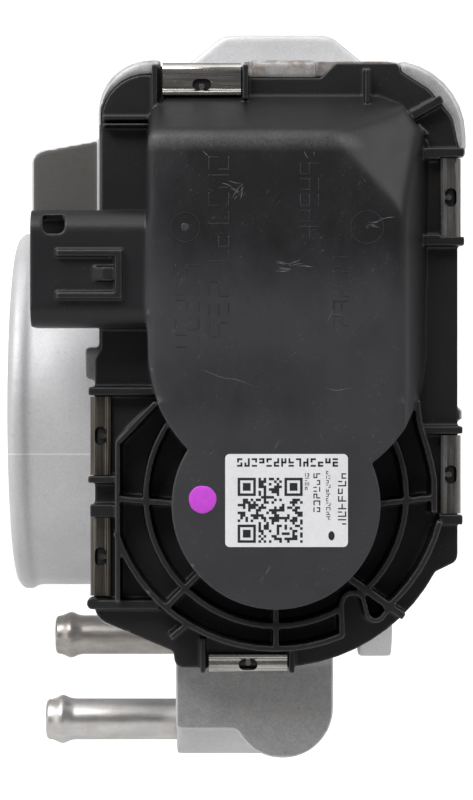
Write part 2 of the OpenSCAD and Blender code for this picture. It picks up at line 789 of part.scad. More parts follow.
// A round wire along a line of points
module sweep(line, r, sides) {
    n = len(line);
    function along(i) = unit(line[min(n - 1, i + 1)] - line[max(0, i - 1)]);
    rings = [
        for (i = [0:n - 1])
            let (t = along(i), u = unit(cross(t, [0, 1, 0.001])), w = cross(t, u))
            [for (k = [0:sides - 1]) line[i] + r * (cos(k * 360 / sides) * u + sin(k * 360 / sides) * w)]
    ];
    polyhedron(
        points = [for (ringed = rings) each ringed],
        faces = concat(
            [[for (k = [sides - 1:-1:0]) k]],
            [for (i = [0:n - 2]) for (k = [0:sides - 1])
                let (a = i * sides, next = (k + 1) % sides)
                [a + k, a + next, a + sides + next, a + sides + k]],
            [[for (k = [0:sides - 1]) (n - 1) * sides + k]]
        )
    );
}

module closed_stop_screw() {
    color(dark_steel) place() translate([-stop_x, stop_y, 0]) difference() {
        translate([0, 0, stop_z - 13]) cylinder(h = 13, r = stop_screw_r);
        translate([0, 0, stop_z - 14]) cylinder(h = 3, r = 1.2, $fn = 6);
    }
}

module idler_pin() {
    color(bright_steel) place() rod_y([0, idler_z], pin_r, floor_y + 5.4, pin_end_y);
}

module idler_gear() {
    color(white_nylon) place() difference() {
        union() {
            slab(wheel_y, wheel_y - wheel_face) translate([0, idler_z]) gear(wheel_teeth, first_module, 0);
            slab(sector_y, sector_y - sector_face) translate([0, idler_z])
                gear(small_teeth, second_module, 270 + 180 / small_teeth);
            rod_y([0, idler_z], second_module * small_teeth / 2 - 1.3,
                wheel_y - wheel_face + 1, sector_y - 1);
        }
        rod_y([0, idler_z], bush_r, wheel_y + 1, sector_y - sector_face - 1);
        for (i = [0:4]) {
            rod_y([0, idler_z] + polar(wheel_hole_ring, i * 72 + 36), 2.2,
                wheel_y + 1, wheel_y - wheel_face - 0.5);
        }
    }
}

module idler_bush() {
    color(brass) place()
        tube_y([0, idler_z], bush_r, pin_r + 0.04, wheel_y + 0.3, sector_y - sector_face - 0.2);
}

// ---- Motor ----

module motor_can() {
    color(bright_steel) place() difference() {
        union() {
            rod_y([0, motor_z], motor_r, can_front_y, can_back_y);
            rod_y([0, motor_z], 5.6, can_back_y - 1, can_back_y + 3);
        }
        rod_y([0, motor_z], motor_r - can_wall, can_front_y - 1, can_back_y - can_wall);
        rod_y([0, motor_z], rear_bush_r, can_front_y, can_back_y + 2);
    }
}

module motor_end_plate() {
    color(bright_steel) place() difference() {
        union() {
            rod_y([0, motor_z], motor_r, plate_front_y, can_front_y);
            rod_y([0, motor_z], nose_r, floor_y + 0.2, can_front_y);
        }
        rod_y([0, motor_z], front_bush_r, floor_y - 1, can_front_y + 1);
        for (side = [-1, 1]) {
            rod_y([side * motor_screw_at[0], motor_screw_at[1]], motor_screw_r, floor_y - 1, can_front_y + 1);
            rod_y([side * terminal_at[0], terminal_at[1]], 2.4, floor_y - 1, can_front_y + 1);
        }
    }
}

module motor_screws() {
    color(dark_steel) place() for (side = [-1, 1]) {
        at = [side * motor_screw_at[0], motor_screw_at[1]];
        rod_y(at, motor_screw_r, floor_y - 0.5, can_front_y);
        difference() {
            rod_y(at, 2.9, floor_y, floor_y - 2);
            slab(floor_y - 0.9, floor_y - 3) translate(at) circle(1.4, $fn = 6);
        }
    }
}

// Cap that closes the barrel behind the motor
module motor_rear_cap() {
    cap_y = pocket_back_y + cap_spigot;
    color(cast_alloy) place() difference() {
        union() {
            slab(cap_y, cap_y + cap_t) motor_square(barrel_half);
            rod_y([0, motor_z], motor_pocket_r - 0.1, pocket_back_y, cap_y + 1);
        }
        rod_y([0, motor_z], 6, pocket_back_y - 1, pocket_back_y + 2.4);
        slab(pocket_back_y, cap_y + cap_t + 1) cap_screws(cap_screw_r);
    }
}

module motor_cap_screws() {
    cap_y = pocket_back_y + cap_spigot + cap_t;
    color(dark_steel) place() {
        slab(pocket_back_y - 5, cap_y + 0.5) cap_screws(cap_screw_r);
        difference() {
            slab(cap_y, cap_y + 1.8) cap_screws(cap_head_r);
            slab(cap_y + 0.7, cap_y + 3) cap_screws(1.2);
        }
    }
}

module motor_brush_cap() {
    color(black_plastic) place() difference() {
        rod_y([0, motor_z], motor_r - can_wall, can_front_y, can_front_y + 7);
        rod_y([0, motor_z], motor_r - 3.5, can_front_y + 2, can_front_y + 8);
        rod_y([0, motor_z], 6.2, can_front_y - 1, can_front_y + 8);
        slab(can_front_y + 3, can_front_y - 1) terminal_sections(0.1);
    }
}

module motor_terminals() {
    color(copper) place() slab(can_front_y + 2, joint_y - 2) terminal_sections(0);
}

module terminal_sections(gap) {
    for (side = [-1, 1]) {
        translate([side * terminal_at[0], terminal_at[1]])
            square(terminal_size + 2 * [gap, gap], center = true);
    }
}

module motor_front_bush() {
    color(brass) place()
        tube_y([0, motor_z], front_bush_r, motor_shaft_r + running, floor_y + 0.2, can_front_y);
}

module motor_rear_bush() {
    color(brass) place()
        tube_y([0, motor_z], rear_bush_r, motor_shaft_r + running, can_back_y - can_wall, can_back_y + 2);
}

module motor_wave_washer() {
    color(spring_steel) place() tube_y([0, motor_z], motor_r - 2, motor_r - 6, can_back_y, pocket_back_y);
}

module motor_magnets() {
    color(magnet_grey) place() slab(can_front_y + 9, can_back_y - 6) translate([0, motor_z]) {
        for (side = [0, 180]) {
            polygon(concat(
                arc([0, 0], motor_r - can_wall, side - 62, side + 62, 6),
                arc([0, 0], motor_r - 3.7, side + 62, side - 62, 6)
            ));
        }
    }
}

module motor_brushes() {
    color(dark_steel) place() for (side = [-1, 1]) {
        box([side * 4.65, can_front_y + 2.4, motor_z - 1.8],
            [side * (motor_r - 3.6), can_front_y + 6, motor_z + 1.8]);
    }
}

module armature_shaft() {
    color(bright_steel) place() rod_y([0, motor_z], motor_shaft_r, wheel_y - wheel_face, can_back_y + 1.6);
}

module armature_core() {
    color(dark_steel) place() slab(core_front_y, core_back_y) translate([0, motor_z]) difference() {
        circle(core_r);
        circle(motor_shaft_r);
        for (i = [0:4]) {
            rotate(i * 72 + 18) {
                translate([slot_at, 0]) circle(slot_r);
                translate([slot_at, -0.8]) square([6, 1.6]);
            }
        }
    }
}

module armature_windings() {
    color(copper) place() {
        for (ends = [[core_front_y - 4.5, core_front_y], [core_back_y, core_back_y + 4]]) {
            tube_y([0, motor_z], core_r - 1.2, 5, ends[0], ends[1]);
        }
        slab(core_front_y, core_back_y) translate([0, motor_z]) {
            for (i = [0:4]) {
                rotate(i * 72 + 18) translate([slot_at, 0]) circle(slot_r - slide);
            }
        }
    }
}

module commutator() {
    color(copper) place() difference() {
        tube_y([0, motor_z], 4.6, motor_shaft_r, can_front_y + 1.5, core_front_y - 5);
        for (i = [0:9]) {
            translate([0, can_front_y + 1, motor_z]) rotate([0, i * 36, 0]) box([4.1, 0, -0.2], [5, 12, 0.2]);
        }
    }
}

module motor_pinion() {
    color(brass) place() difference() {
        slab(wheel_y, wheel_y - wheel_face) translate([0, motor_z])
            gear(pinion_teeth, first_module, 270 + 180 / pinion_teeth);
        rod_y([0, motor_z], motor_shaft_r, floor_y, joint_y);
    }
}

// ---- Coolant ----

module hose_pipe(at, from) {
    translate([0, at[0], at[1]]) rotate([0, -90, 0]) rotate_extrude() polygon([
        [pipe_bore_r, from],
        [pipe_r, from],
        [pipe_r, pipe_reach - 5.3],
        [pipe_r + pipe_bead, pipe_reach - 3.6],
        [pipe_r + pipe_bead, pipe_reach - 2.4],
        [pipe_r - 0.2, pipe_reach - 0.3],
        [pipe_r - 0.5, pipe_reach],
        [pipe_bore_r, pipe_reach]
    ]);
}

module coolant_pipe_upper() {
    color(dark_steel) place() hose_pipe(high_pipe, 9);
}

module coolant_pipe_lower() {
    color(dark_steel) place() hose_pipe(low_pipe, 8);
}

module coolant_passage_plug() {
    color(dark_steel) place() difference() {
        rod_y([passage_x, passage_z], passage_r + 1.5, gallery_back_y - 2.5, gallery_back_y - 0.4);
        rod_y([passage_x, passage_z], passage_r - 0.2, gallery_back_y - 1.7, gallery_back_y + 1);
    }
}

// ---- Gear cover ----

module dome_outline(inset) {
    polygon(rounded(moved_in([
        [dome_left, dome_c[1], 0],
        [dome_right, dome_c[1], 0],
        [dome_right + 0.7, motor_z - 2.9, 2],
        [22.6, motor_z + 4, 3],
        [17.6, motor_z + 5.9, 3],
        [-20, motor_z + 5.9, 2],
        [dome_left, motor_z + 2.1, 2]
    ], inset)));
    translate(dome_c) circle(dome_r - inset);
    translate(boss_c) circle(boss_r - inset);
}

// The dome with its sloping top, right side and corner facet, as a solid inset from the outside
module dome(y_from, inset) {
    difference() {
        slab(y_from, dome_y + inset) dome_outline(inset);
        slope([0, plate_y, motor_z + 5.9], [0, -0.51, 0.86], inset);
        slope([dome_right + 0.7, plate_y, 0], [0.936, -0.352, 0], inset);
        slope([9.4, dome_y, motor_z - 3], [0.394, -0.845, 0.362], inset);
    }
}

module slope(point, normal, inset) {
    n = unit(normal);
    beyond(point - inset * n, n);
}

module plug_outline(inset, r) {
    h = plug_h / 2 - inset;
    w = plug_w / 2 - inset;
    polygon(rounded([
        [plug_c[0] - w, plug_c[1] - h, r],
        [plug_c[0] + w, plug_c[1] - h, r],
        [plug_c[0] + w, plug_c[1] + h, r],
        [plug_c[0] - w, plug_c[1] + h, r]
    ]));
}

// Guard and latch wedge on the connector's front wall
module plug_details() {
    guard_x = [plug_mouth + 4.7, dome_left - 4.5];
    slab(plug_face + 0.5, plug_face - 1.5) {
        for (z = [plug_c[1] - 4.9, plug_c[1] + 2.6]) {
            bar([guard_x[0], z], [guard_x[1], z], 1.15);
        }
        bar([guard_x[1] - 0.6, plug_c[1] - 5.4], [guard_x[1] - 0.6, plug_c[1] + 3.1], 1.2);
    }
    translate([0, 0, plug_c[1] - 2.4]) linear_extrude(2.5) polygon([
        [dome_left - 10.3, plug_face + 0.2],
        [dome_left - 7.8, plug_face - 1],
        [dome_left - 6.2, plug_face - 1],
        [dome_left - 6.2, plug_face + 0.2]
    ]);
}

module ring_ribs() {
    slab(plate_y + 0.5, rib_y) {
        arc_rib(outer_c, outer_ring_r, 198, 293, rib_t);
        arc_rib(outer_c, outer_ring_r, 310, 346, rib_t);
        arc_rib(inner_c, inner_ring_r, 132, 300, rib_t);
        arc_rib(inner_c, inner_ring_r, 314, 412, rib_t);
        // Spokes between the boss and the outer ring
        bar([-28.8, -15.5], [-18, -16.4], rib_t);
        bar([-20.4, -35.3], [-13.4, -28.2], rib_t);
        bar([-0.4, -42], [-0.4, -34], rib_t);
        bar([12.5, -29.6], [22.5, -36.6], 1.3 * rib_t);
        bar([17.8, -16.4], [27.8, -15.3], rib_t);
        // Left side of the ring, straight past the clips
        bar([-28.8, -5.2], [-28.8, -34], 0.85 * rib_t);
        bar([-28.5, -5.2], [dome_left + 1.4, 1.7], rib_t);
        bar([-16.8, -38.4], [-19.3, -40.4], rib_t);
        // Right side, swept in to the dome
        trace([[27.9, -18], [27.9, -12.1], [27.4, -9.4], [26.6, -6.3], [25.4, -2.5], [25, 0], [24.7, 3.2]],
            rib_t);
        // Fold round the screw boss of the casting
        bar([11.3, -34.2], [11.4, -40.2], 0.9 * rib_t);
        trace(concat(
            arc([13.4, -34.3], 2, 180, 5, 22),
            arc([17.4, -35.7], 1.6, 190, 335, 24),
            [[19.9, -35.1]]
        ), 0.8 * rib_t);
    }
}

// Ribs that stand on either side of each clip
module clip_ribs() {
    left = -rim_half + 0.2;
    right = rim_half - 0.2;
    slab(plate_y + 0.5, plate_y - 3.2) {
        bar([-22.3, rim_top - 9.6], [-22.3, rim_top - 1.3], 0.9);
        bar([-5.9, rim_top - 7.5], [-5.9, rim_top - 1.3], 1);
        bar([left + 1.6, motor_z + 1.7], [dome_left + 0.5, motor_z + 1.7], 0.8);
        bar([left + 1.8, motor_z + 0.5], [dome_left + 0.5, motor_z + 0.5], 0.4);
        bar([16.1, rim_top - 8.2], [16.1, rim_top - 2], 0.9);
        bar([23.2, motor_z + 1.6], [29.6, motor_z + 5.2], 1.5);
        bar([25.2, motor_z + 0.6], [26.9, motor_z - 1.3], 0.6);
        for (z = [46.7, 31.1]) {
            bar([dome_right, z], [right + 0.3, z], 2);
        }
        bar([dome_right - 0.7, -3.2], [right, -3.2], 1.35);
        bar([29, -19.2], [right, -19.2], 2.1);
        bar([left - 0.9, 3.8], [dome_left + 0.8, 3.8], 1.5);
        bar([left - 1, -12.1], [-29, -12.1], 1.3);
        bar([left - 0.6, -17.8], [-29, -17.8], 2.2);
        bar([left - 0.7, -34.7], [-21.5, -34.7], 1.6);
        bar([-13.6, -40.8], [-13.6, low_z - 0.4], 0.95);
        bar([2.5, -43], [2.5, low_z - 0.4], 0.95);
        translate([left - 0.1, -34.5]) circle(1.1, $fn = 24);
    }
}

module gear_cover() {
    color(black_plastic) place() {
        difference() {
            union() {
                slab(joint_y, plate_y) polygon(rounded(cover_edge));
                dome(joint_y - 0.5, 0);
                slab_x(plug_mouth, dome_left + 1) plug_outline(0, 4);
                ring_ribs();
                clip_ribs();
                plug_details();
            }
            clip_seats();
            dome(joint_y + 1, cover_wall);
            // The connector's back wall stops at the housing's rim
            box([-rim_half - 1, joint_y, plug_c[1] - plug_h],
                [dome_left + 2, joint_y + 4, plug_c[1] + plug_h]);
            // Shallow room over the gears inside the gasket
            slab(joint_y + 1, joint_y - 0.5) polygon(rounded(moved_in(rim_edge, rim_out + case_wall + 0.6)));
            slab_x(plug_mouth - 1, dome_left - 3) plug_outline(plug_wall, 2.8);
            slab(plug_face - 1, plug_face + 3) polygon(rounded([
                [plug_mouth + 2.2, plug_c[1] + 6.1, 1.2],
                [plug_mouth + 6.1, plug_c[1] + 6.1, 1.2],
                [plug_mouth + 6.1, plug_c[1] + 9.4, 0.5],
                [plug_mouth + 2.2, plug_c[1] + 9.4, 0.5]
            ]));
            connector_pins(fit);
        }
        // Bearing for the outer end of the idler's pin, and posts for the sensor's board
        tube_y([0, idler_z], pin_r + 2.2, pin_r + 0.01, pin_end_y + 2.6, pin_end_y - 0.1);
        rod_y([0, idler_z], pin_r + 2.2, pin_end_y - 0.1, dome_y + cover_wall - 0.3);
        for (p = board_posts) {
            rod_y(p, 1.6, board_y - board_t, dome_y + cover_wall - 0.3);
        }
    }
}

// Six flat pins, in two rows, that pass through the connector's end wall and turn up to the board
module connector_pins(gap) {
    for (row = [-1, 1]) {
        y = plug_c[0] + row * pin_row;
        end_x = dome_left + (row < 0 ? 5 : 7.6);
        for (i = [-1:1]) {
            z = plug_c[1] + i * pin_pitch;
            box([plug_mouth + 6, y - pin_t / 2 - gap, z - pin_w / 2 - gap],
                [end_x, y + pin_t / 2 + gap, z + pin_w / 2 + gap]);
            box([end_x - pin_t - gap, y, z - pin_w / 2 - gap], [end_x + gap, board_y, z + pin_w / 2 + gap]);
        }
    }
}

module connector_terminals() {
    color(brass) place() connector_pins(0);
}

module sensor_board() {
    color(board_green) place() slab(board_y, board_y - board_t) difference() {
        intersection() {
            dome_outline(cover_wall + 0.9);
            polygon(rounded([
                [-22, -7, 1.5],
                [19, -7, 1.5],
                [19, 20, 1.5],
                [-5.6, 20, 1],
                [-5.6, 34, 1.5],
                [-22, 34, 1.5]
            ]));
        }
        translate(board_posts[0]) circle(0.6);
    }
}

module sensor_chips() {
    color(black_rubber) place() {
        box([-3, board_y, -3], [3, board_y + 1.2, 3]);
        box([8, board_y, 6], [14, board_y + 1.4, 12]);
        box([-13, board_y, 7], [-9, board_y + 1, 11]);
    }
}

module label() {
    color(label_white) place() slab(dome_y, dome_y - 0.12)
        polygon(rounded([[-9.5, -23.8, 0.8], [12.2, -23.8, 0.8], [12.2, -7.35, 0.8], [-9.5, -7.35, 0.8]]));
}

module cover_gasket() {
    color(black_rubber) place() gasket_ring();
}

// ---- Clips ----

module at_clip(spot) {
    translate([spot[0][0], 0, spot[0][1]]) rotate([0, -spot[1], 0]) children();
}

module clip(spot) {
    reach = spot[2];
    face_y = plate_y - clip_t;
    color(spring_steel) place() at_clip(spot) {
        difference() {
            slab_z(clip_len) polygon(rounded([
                [-reach, plate_y - 1.2, 0.15],
                [-reach + 0.65, plate_y - 1.2, 0.3],
                [-reach + 1.05, face_y, 0.35],
                [clip_t + clip_gap, face_y, clip_bend],
                [clip_t + clip_gap, clip_back_y + clip_t, clip_t],
                [-clip_hook, clip_back_y + clip_t, 0.15],
                [-clip_hook, clip_back_y, 0.15],
                [clip_gap, clip_back_y, 0.15],
                [clip_gap, plate_y, clip_bend - clip_t],
                [-reach + 0.7, plate_y, 0.3],
                [-reach, plate_y - 0.75, 0.1]
            ]));
            slab(plate_y + 1, plate_y - 2) clip_hole(reach);
        }
        // Tab that grips a tooth on the cover
        slab(plate_y - 0.1, face_y - 0.25) clip_tab(reach);
    }
}

// Oblong hole near the lip of a clip
module clip_hole(reach) {
    translate([-reach + 1.95, 0]) {
        square([2.1, 1.5], center = true);
        for (side = [-1, 1]) {
            translate([0, side * 0.65]) circle(1.05);
        }
    }
}

module clip_tab(reach) {
    translate([-reach + 0.8, -0.35]) square([0.75, 0.7]);
    translate([-reach + 1.6, 0]) circle(0.5);
}

// An outline in X and Y, centred on Z
module slab_z(h) {
    translate([0, 0, -h / 2]) linear_extrude(h) children();
}

// Flats on the rim where a clip's web runs, and the pocket for its hook
module clip_cuts() {
    for (spot = clips) {
        at_clip(spot) {
            box([0, clip_back_y + 2, -clip_len / 2 - 0.5], [5, plate_y - 3, clip_len / 2 + 0.5]);
            box([-clip_hook - 0.2, clip_back_y - clip_gap, -clip_len / 2 - 0.2],
                [5, clip_back_y + 1, clip_len / 2 + 0.2]);
        }
    }
}

// Room on the cover for a clip, with the cover's edge eased under the bend
module clip_seats() {
    ease = clip_bend - clip_t - 0.1;
    for (spot = clips) {
        at_clip(spot) slab_z(clip_len + 0.3) polygon([
            [-spot[2] - 0.25, plate_y],
            [-ease, plate_y],
            [0.1, plate_y + ease + 0.1],
            [5, plate_y + ease + 0.1],
            [5, rib_y - 1],
            [-spot[2] - 0.25, rib_y - 1]
        ]);
    }
}

module cover_clip_top() {
    clip(clip_top);
}

module cover_clip_bottom() {
    clip(clip_bottom);
}

module cover_clip_left_upper() {
    clip(clip_left_upper);
}

module cover_clip_left_lower() {
    clip(clip_left_lower);
}

module cover_clip_right_upper() {
    clip(clip_right_upper);
}

module cover_clip_right_lower() {
    clip(clip_right_lower);
}

throttle_housing();
front_bearing_outer();
front_bearing_balls();
front_shaft_seal();
rear_shaft_seal();
rear_bearing_cup();
rear_bearing_needles();
rear_end_plug();
coolant_pipe_upper();
coolant_pipe_lower();
coolant_passage_plug();
idler_pin();
return_spring();
closed_stop_screw();
motor_can();
motor_end_plate();
motor_brush_cap();
motor_magnets();
motor_brushes();
motor_terminals();
motor_front_bush();
motor_rear_bush();
motor_wave_washer();
motor_screws();
motor_rear_cap();
motor_cap_screws();
cover_gasket();
gear_cover();
connector_terminals();
sensor_board();
sensor_chips();
label();
cover_clip_top();
cover_clip_bottom();
cover_clip_left_upper();
cover_clip_left_lower();
cover_clip_right_upper();
cover_clip_right_lower();
throttle_shaft();
throttle_plate();
plate_screws();
throttle_gear();
gear_insert();
sensor_magnet();
front_bearing_inner();
idler_gear();
idler_bush();
armature_shaft();
armature_core();
armature_windings();
commutator();
motor_pinion();
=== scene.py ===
"""Looks of the electronic throttle body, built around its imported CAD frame.

Lengths are in metres in the row frame: +X towards the engine, -Y towards the gear cover, +Z up.
Shader textures and the sizes in the dataclasses are in millimetres.
"""
import json
import logging
import math
import random
from dataclasses import dataclass, field
from enum import Enum
from typing import Callable, Dict, List, Optional, Sequence, Tuple, Union

import bpy
import numpy as np
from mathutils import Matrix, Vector


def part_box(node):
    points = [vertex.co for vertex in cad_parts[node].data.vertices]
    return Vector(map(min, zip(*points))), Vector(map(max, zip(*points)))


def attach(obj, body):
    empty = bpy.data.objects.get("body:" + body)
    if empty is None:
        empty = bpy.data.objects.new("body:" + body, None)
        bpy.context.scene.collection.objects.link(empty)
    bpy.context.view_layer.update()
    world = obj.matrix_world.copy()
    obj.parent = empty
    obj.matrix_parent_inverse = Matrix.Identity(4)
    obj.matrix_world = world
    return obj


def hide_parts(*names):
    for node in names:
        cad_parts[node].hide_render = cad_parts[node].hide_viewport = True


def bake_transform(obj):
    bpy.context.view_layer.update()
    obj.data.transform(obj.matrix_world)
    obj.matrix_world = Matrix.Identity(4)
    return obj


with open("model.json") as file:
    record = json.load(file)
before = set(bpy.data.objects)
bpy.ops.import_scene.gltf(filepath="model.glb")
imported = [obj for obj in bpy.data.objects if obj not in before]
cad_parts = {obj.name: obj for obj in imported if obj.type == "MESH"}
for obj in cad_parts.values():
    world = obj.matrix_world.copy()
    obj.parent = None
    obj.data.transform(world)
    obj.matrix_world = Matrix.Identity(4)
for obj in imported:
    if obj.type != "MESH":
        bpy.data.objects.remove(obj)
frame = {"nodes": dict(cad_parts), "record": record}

log = logging.getLogger("throttle_body")

MM = 0.001
# Radius about the bore's axis that is kept sharp, and where the cover's joint starts, in millimetres
BORE_EASE_R = 32.0
COVER_JOINT_Y = -46.0
Colour = Tuple[float, float, float]
Point = Tuple[float, float, float]
Flat = Tuple[float, float]
Box = Tuple[float, float, float, float]
Input = Union["Sock", float, Sequence[float]]


# ---- Shader graphs ----


class Sock:
    """One output of a shader node, usable in sums."""

    def __init__(self, graph: "Graph", out: bpy.types.NodeSocket) -> None:
        """Wraps an output.

        Args:
            graph: The graph that owns the node.
            out: The node's output.
        """
        self.graph = graph
        self.out = out

    def _with(self, operation: str, first: Input, second: Input) -> "Sock":
        """Returns a maths node's result."""
        return self.graph.node("ShaderNodeMath", {"operation": operation}, {0: first, 1: second})

    def __add__(self, other: Input) -> "Sock":
        """Returns this plus another value."""
        return self._with("ADD", self, other)

    def __radd__(self, other: Input) -> "Sock":
        """Returns another value plus this."""
        return self._with("ADD", other, self)

    def __sub__(self, other: Input) -> "Sock":
        """Returns this less another value."""
        return self._with("SUBTRACT", self, other)

    def __rsub__(self, other: Input) -> "Sock":
        """Returns another value less this."""
        return self._with("SUBTRACT", other, self)

    def __mul__(self, other: Input) -> "Sock":
        """Returns this times another value."""
        return self._with("MULTIPLY", self, other)

    def __rmul__(self, other: Input) -> "Sock":
        """Returns another value times this."""
        return self._with("MULTIPLY", other, self)

    def __truediv__(self, other: Input) -> "Sock":
        """Returns this over another value."""
        return self._with("DIVIDE", self, other)

    def __rtruediv__(self, other: Input) -> "Sock":
        """Returns another value over this."""
        return self._with("DIVIDE", other, self)

    def __abs__(self) -> "Sock":
        """Returns this without its sign."""
        return self._with("ABSOLUTE", self, 0.0)

    def larger(self, other: Input) -> "Sock":
        """Returns the larger of this and another value."""
        return self._with("MAXIMUM", self, other)

    def ease(self, low: float, high: float) -> "Sock":
        """Rises smoothly from 0 at low to 1 at high.

        Args:
            low: Value that gives 0.
            high: Value that gives 1; it may be below low.

        Returns:
            The eased value.
        """
        return self.graph.node(
            "ShaderNodeMapRange",
            {"interpolation_type": "SMOOTHSTEP"},
            {"Value": self, "From Min": low, "From Max": high, "To Min": 0.0, "To Max": 1.0},
        )


class Graph:
    """The node tree of one material or world."""

    def __init__(self, tree: bpy.types.NodeTree) -> None:
        """Takes over an empty tree.

        Args:
            tree: The tree that the nodes go into.
        """
        self.tree = tree
        self.tree.nodes.clear()

    def node(
        self,
        kind: str,
        settings: Optional[Dict[str, object]] = None,
        inputs: Optional[Dict[Union[str, int], Input]] = None,
        out: Union[str, int] = 0,
    ) -> Sock:
        """Adds one node.

        Args:
            kind: Blender's node type.
            settings: Properties of the node.
            inputs: Input name or number to a value or another node's output.
            out: The output to return.

        Returns:
            The chosen output.
        """
        made = self.tree.nodes.new(kind)
        for name, value in (settings or {}).items():
            setattr(made, name, value)
        for name, value in (inputs or {}).items():
            if isinstance(value, Sock):
                self.tree.links.new(value.out, made.inputs[name])
            else:
                made.inputs[name].default_value = value
        return Sock(self, made.outputs[out])

    def place(self) -> Sock:
        """Returns the point on the object, in millimetres."""
        point = self.node("ShaderNodeTexCoord", out="Object")
        return self.scaled(point, (1 / MM, 1 / MM, 1 / MM))

    def scaled(self, vector: Sock, by: Point) -> Sock:
        """Returns a vector multiplied by another."""
        return self.node("ShaderNodeVectorMath", {"operation": "MULTIPLY"}, {0: vector, 1: by})

    def turned(self, vector: Sock, angle: float) -> Sock:
        """Returns a vector turned about Y by an angle in degrees."""
        return self.node(
            "ShaderNodeVectorRotate",
            {"rotation_type": "Y_AXIS"},
            {"Vector": vector, "Angle": math.radians(angle)},
        )

    def parts(self, vector: Sock) -> Tuple[Sock, Sock, Sock]:
        """Returns a vector's X, Y and Z."""
        first = self.node("ShaderNodeSeparateXYZ", inputs={0: vector})
        outs = first.out.node.outputs
        return first, Sock(self, outs[1]), Sock(self, outs[2])

    def noise(
        self, at: Sock, scale: float, detail: float = 3.0, rough: float = 0.55, warp: float = 0.0
    ) -> Sock:
        """Adds fractal noise.

        Args:
            at: The point that is looked up.
            scale: Features per unit of the point.
            detail: Octaves of finer noise.
            rough: Share kept by each finer octave.
            warp: Distortion.

        Returns:
            A value about 0.5.
        """
        return self.node(
            "ShaderNodeTexNoise",
            {"noise_dimensions": "3D"},
            {"Vector": at, "Scale": scale, "Detail": detail, "Roughness": rough, "Distortion": warp},
        )

    def mix(self, share: Input, first: Union[Sock, Colour], second: Union[Sock, Colour]) -> Sock:
        """Mixes two colours.

        Args:
            share: 0 gives the first colour, 1 the second.
            first: A colour.
            second: A colour.

        Returns:
            The mixed colour.
        """
        inputs: Dict[Union[str, int], Input] = {0: share}
        for place, colour in ((6, first), (7, second)):
            inputs[place] = colour if isinstance(colour, Sock) else (*colour, 1.0)
        return self.node("ShaderNodeMix", {"data_type": "RGBA"}, inputs, 2)

    def edges(self) -> Sock:
        """Returns 0.5 on flat surface, more on convex edges and less in hollows."""
        return self.node("ShaderNodeNewGeometry", out="Pointiness")

    def facing(self, direction: Point) -> Sock:
        """Returns how squarely the surface faces a direction, from -1 to 1."""
        normal = self.node("ShaderNodeNewGeometry", out="Normal")
        return self.node("ShaderNodeVectorMath", {"operation": "DOT_PRODUCT"}, {0: normal, 1: direction}, 1)

    def bump(self, height: Sock, depth: float, strength: float = 1.0) -> Sock:
        """Adds relief.

        Args:
            height: Height from 0 to 1.
            depth: Metres that 1 stands above 0.
            strength: Share of the effect.

        Returns:
            The changed normal.
        """
        return self.node("ShaderNodeBump", inputs={"Strength": strength, "Distance": depth, "Height": height})

    def finish(self, inputs: Dict[str, Input]) -> None:
        """Ends the material in a principled shader.

        Args:
            inputs: The shader's inputs by name.
        """
        shader = self.node("ShaderNodeBsdfPrincipled", inputs=inputs)
        self.node_output("ShaderNodeOutputMaterial", shader)

    def node_output(self, kind: str, shader: Sock) -> None:
        """Joins a shader to the tree's output node."""
        made = self.tree.nodes.new(kind)
        self.tree.links.new(shader.out, made.inputs["Surface"])


@dataclass(frozen=True)
class Finish:
    """A surface finish, which makes one material."""

    name: str

    def build(self) -> bpy.types.Material:
        """Returns the material, made once."""
        known = bpy.data.materials.get(self.name)
        if known is not None:
            return known
        material = bpy.data.materials.new(self.name)
        material.use_nodes = True
        self.draw(Graph(material.node_tree))
        return material

    def draw(self, graph: Graph) -> None:
        """Draws the shader into a graph."""
        raise NotImplementedError


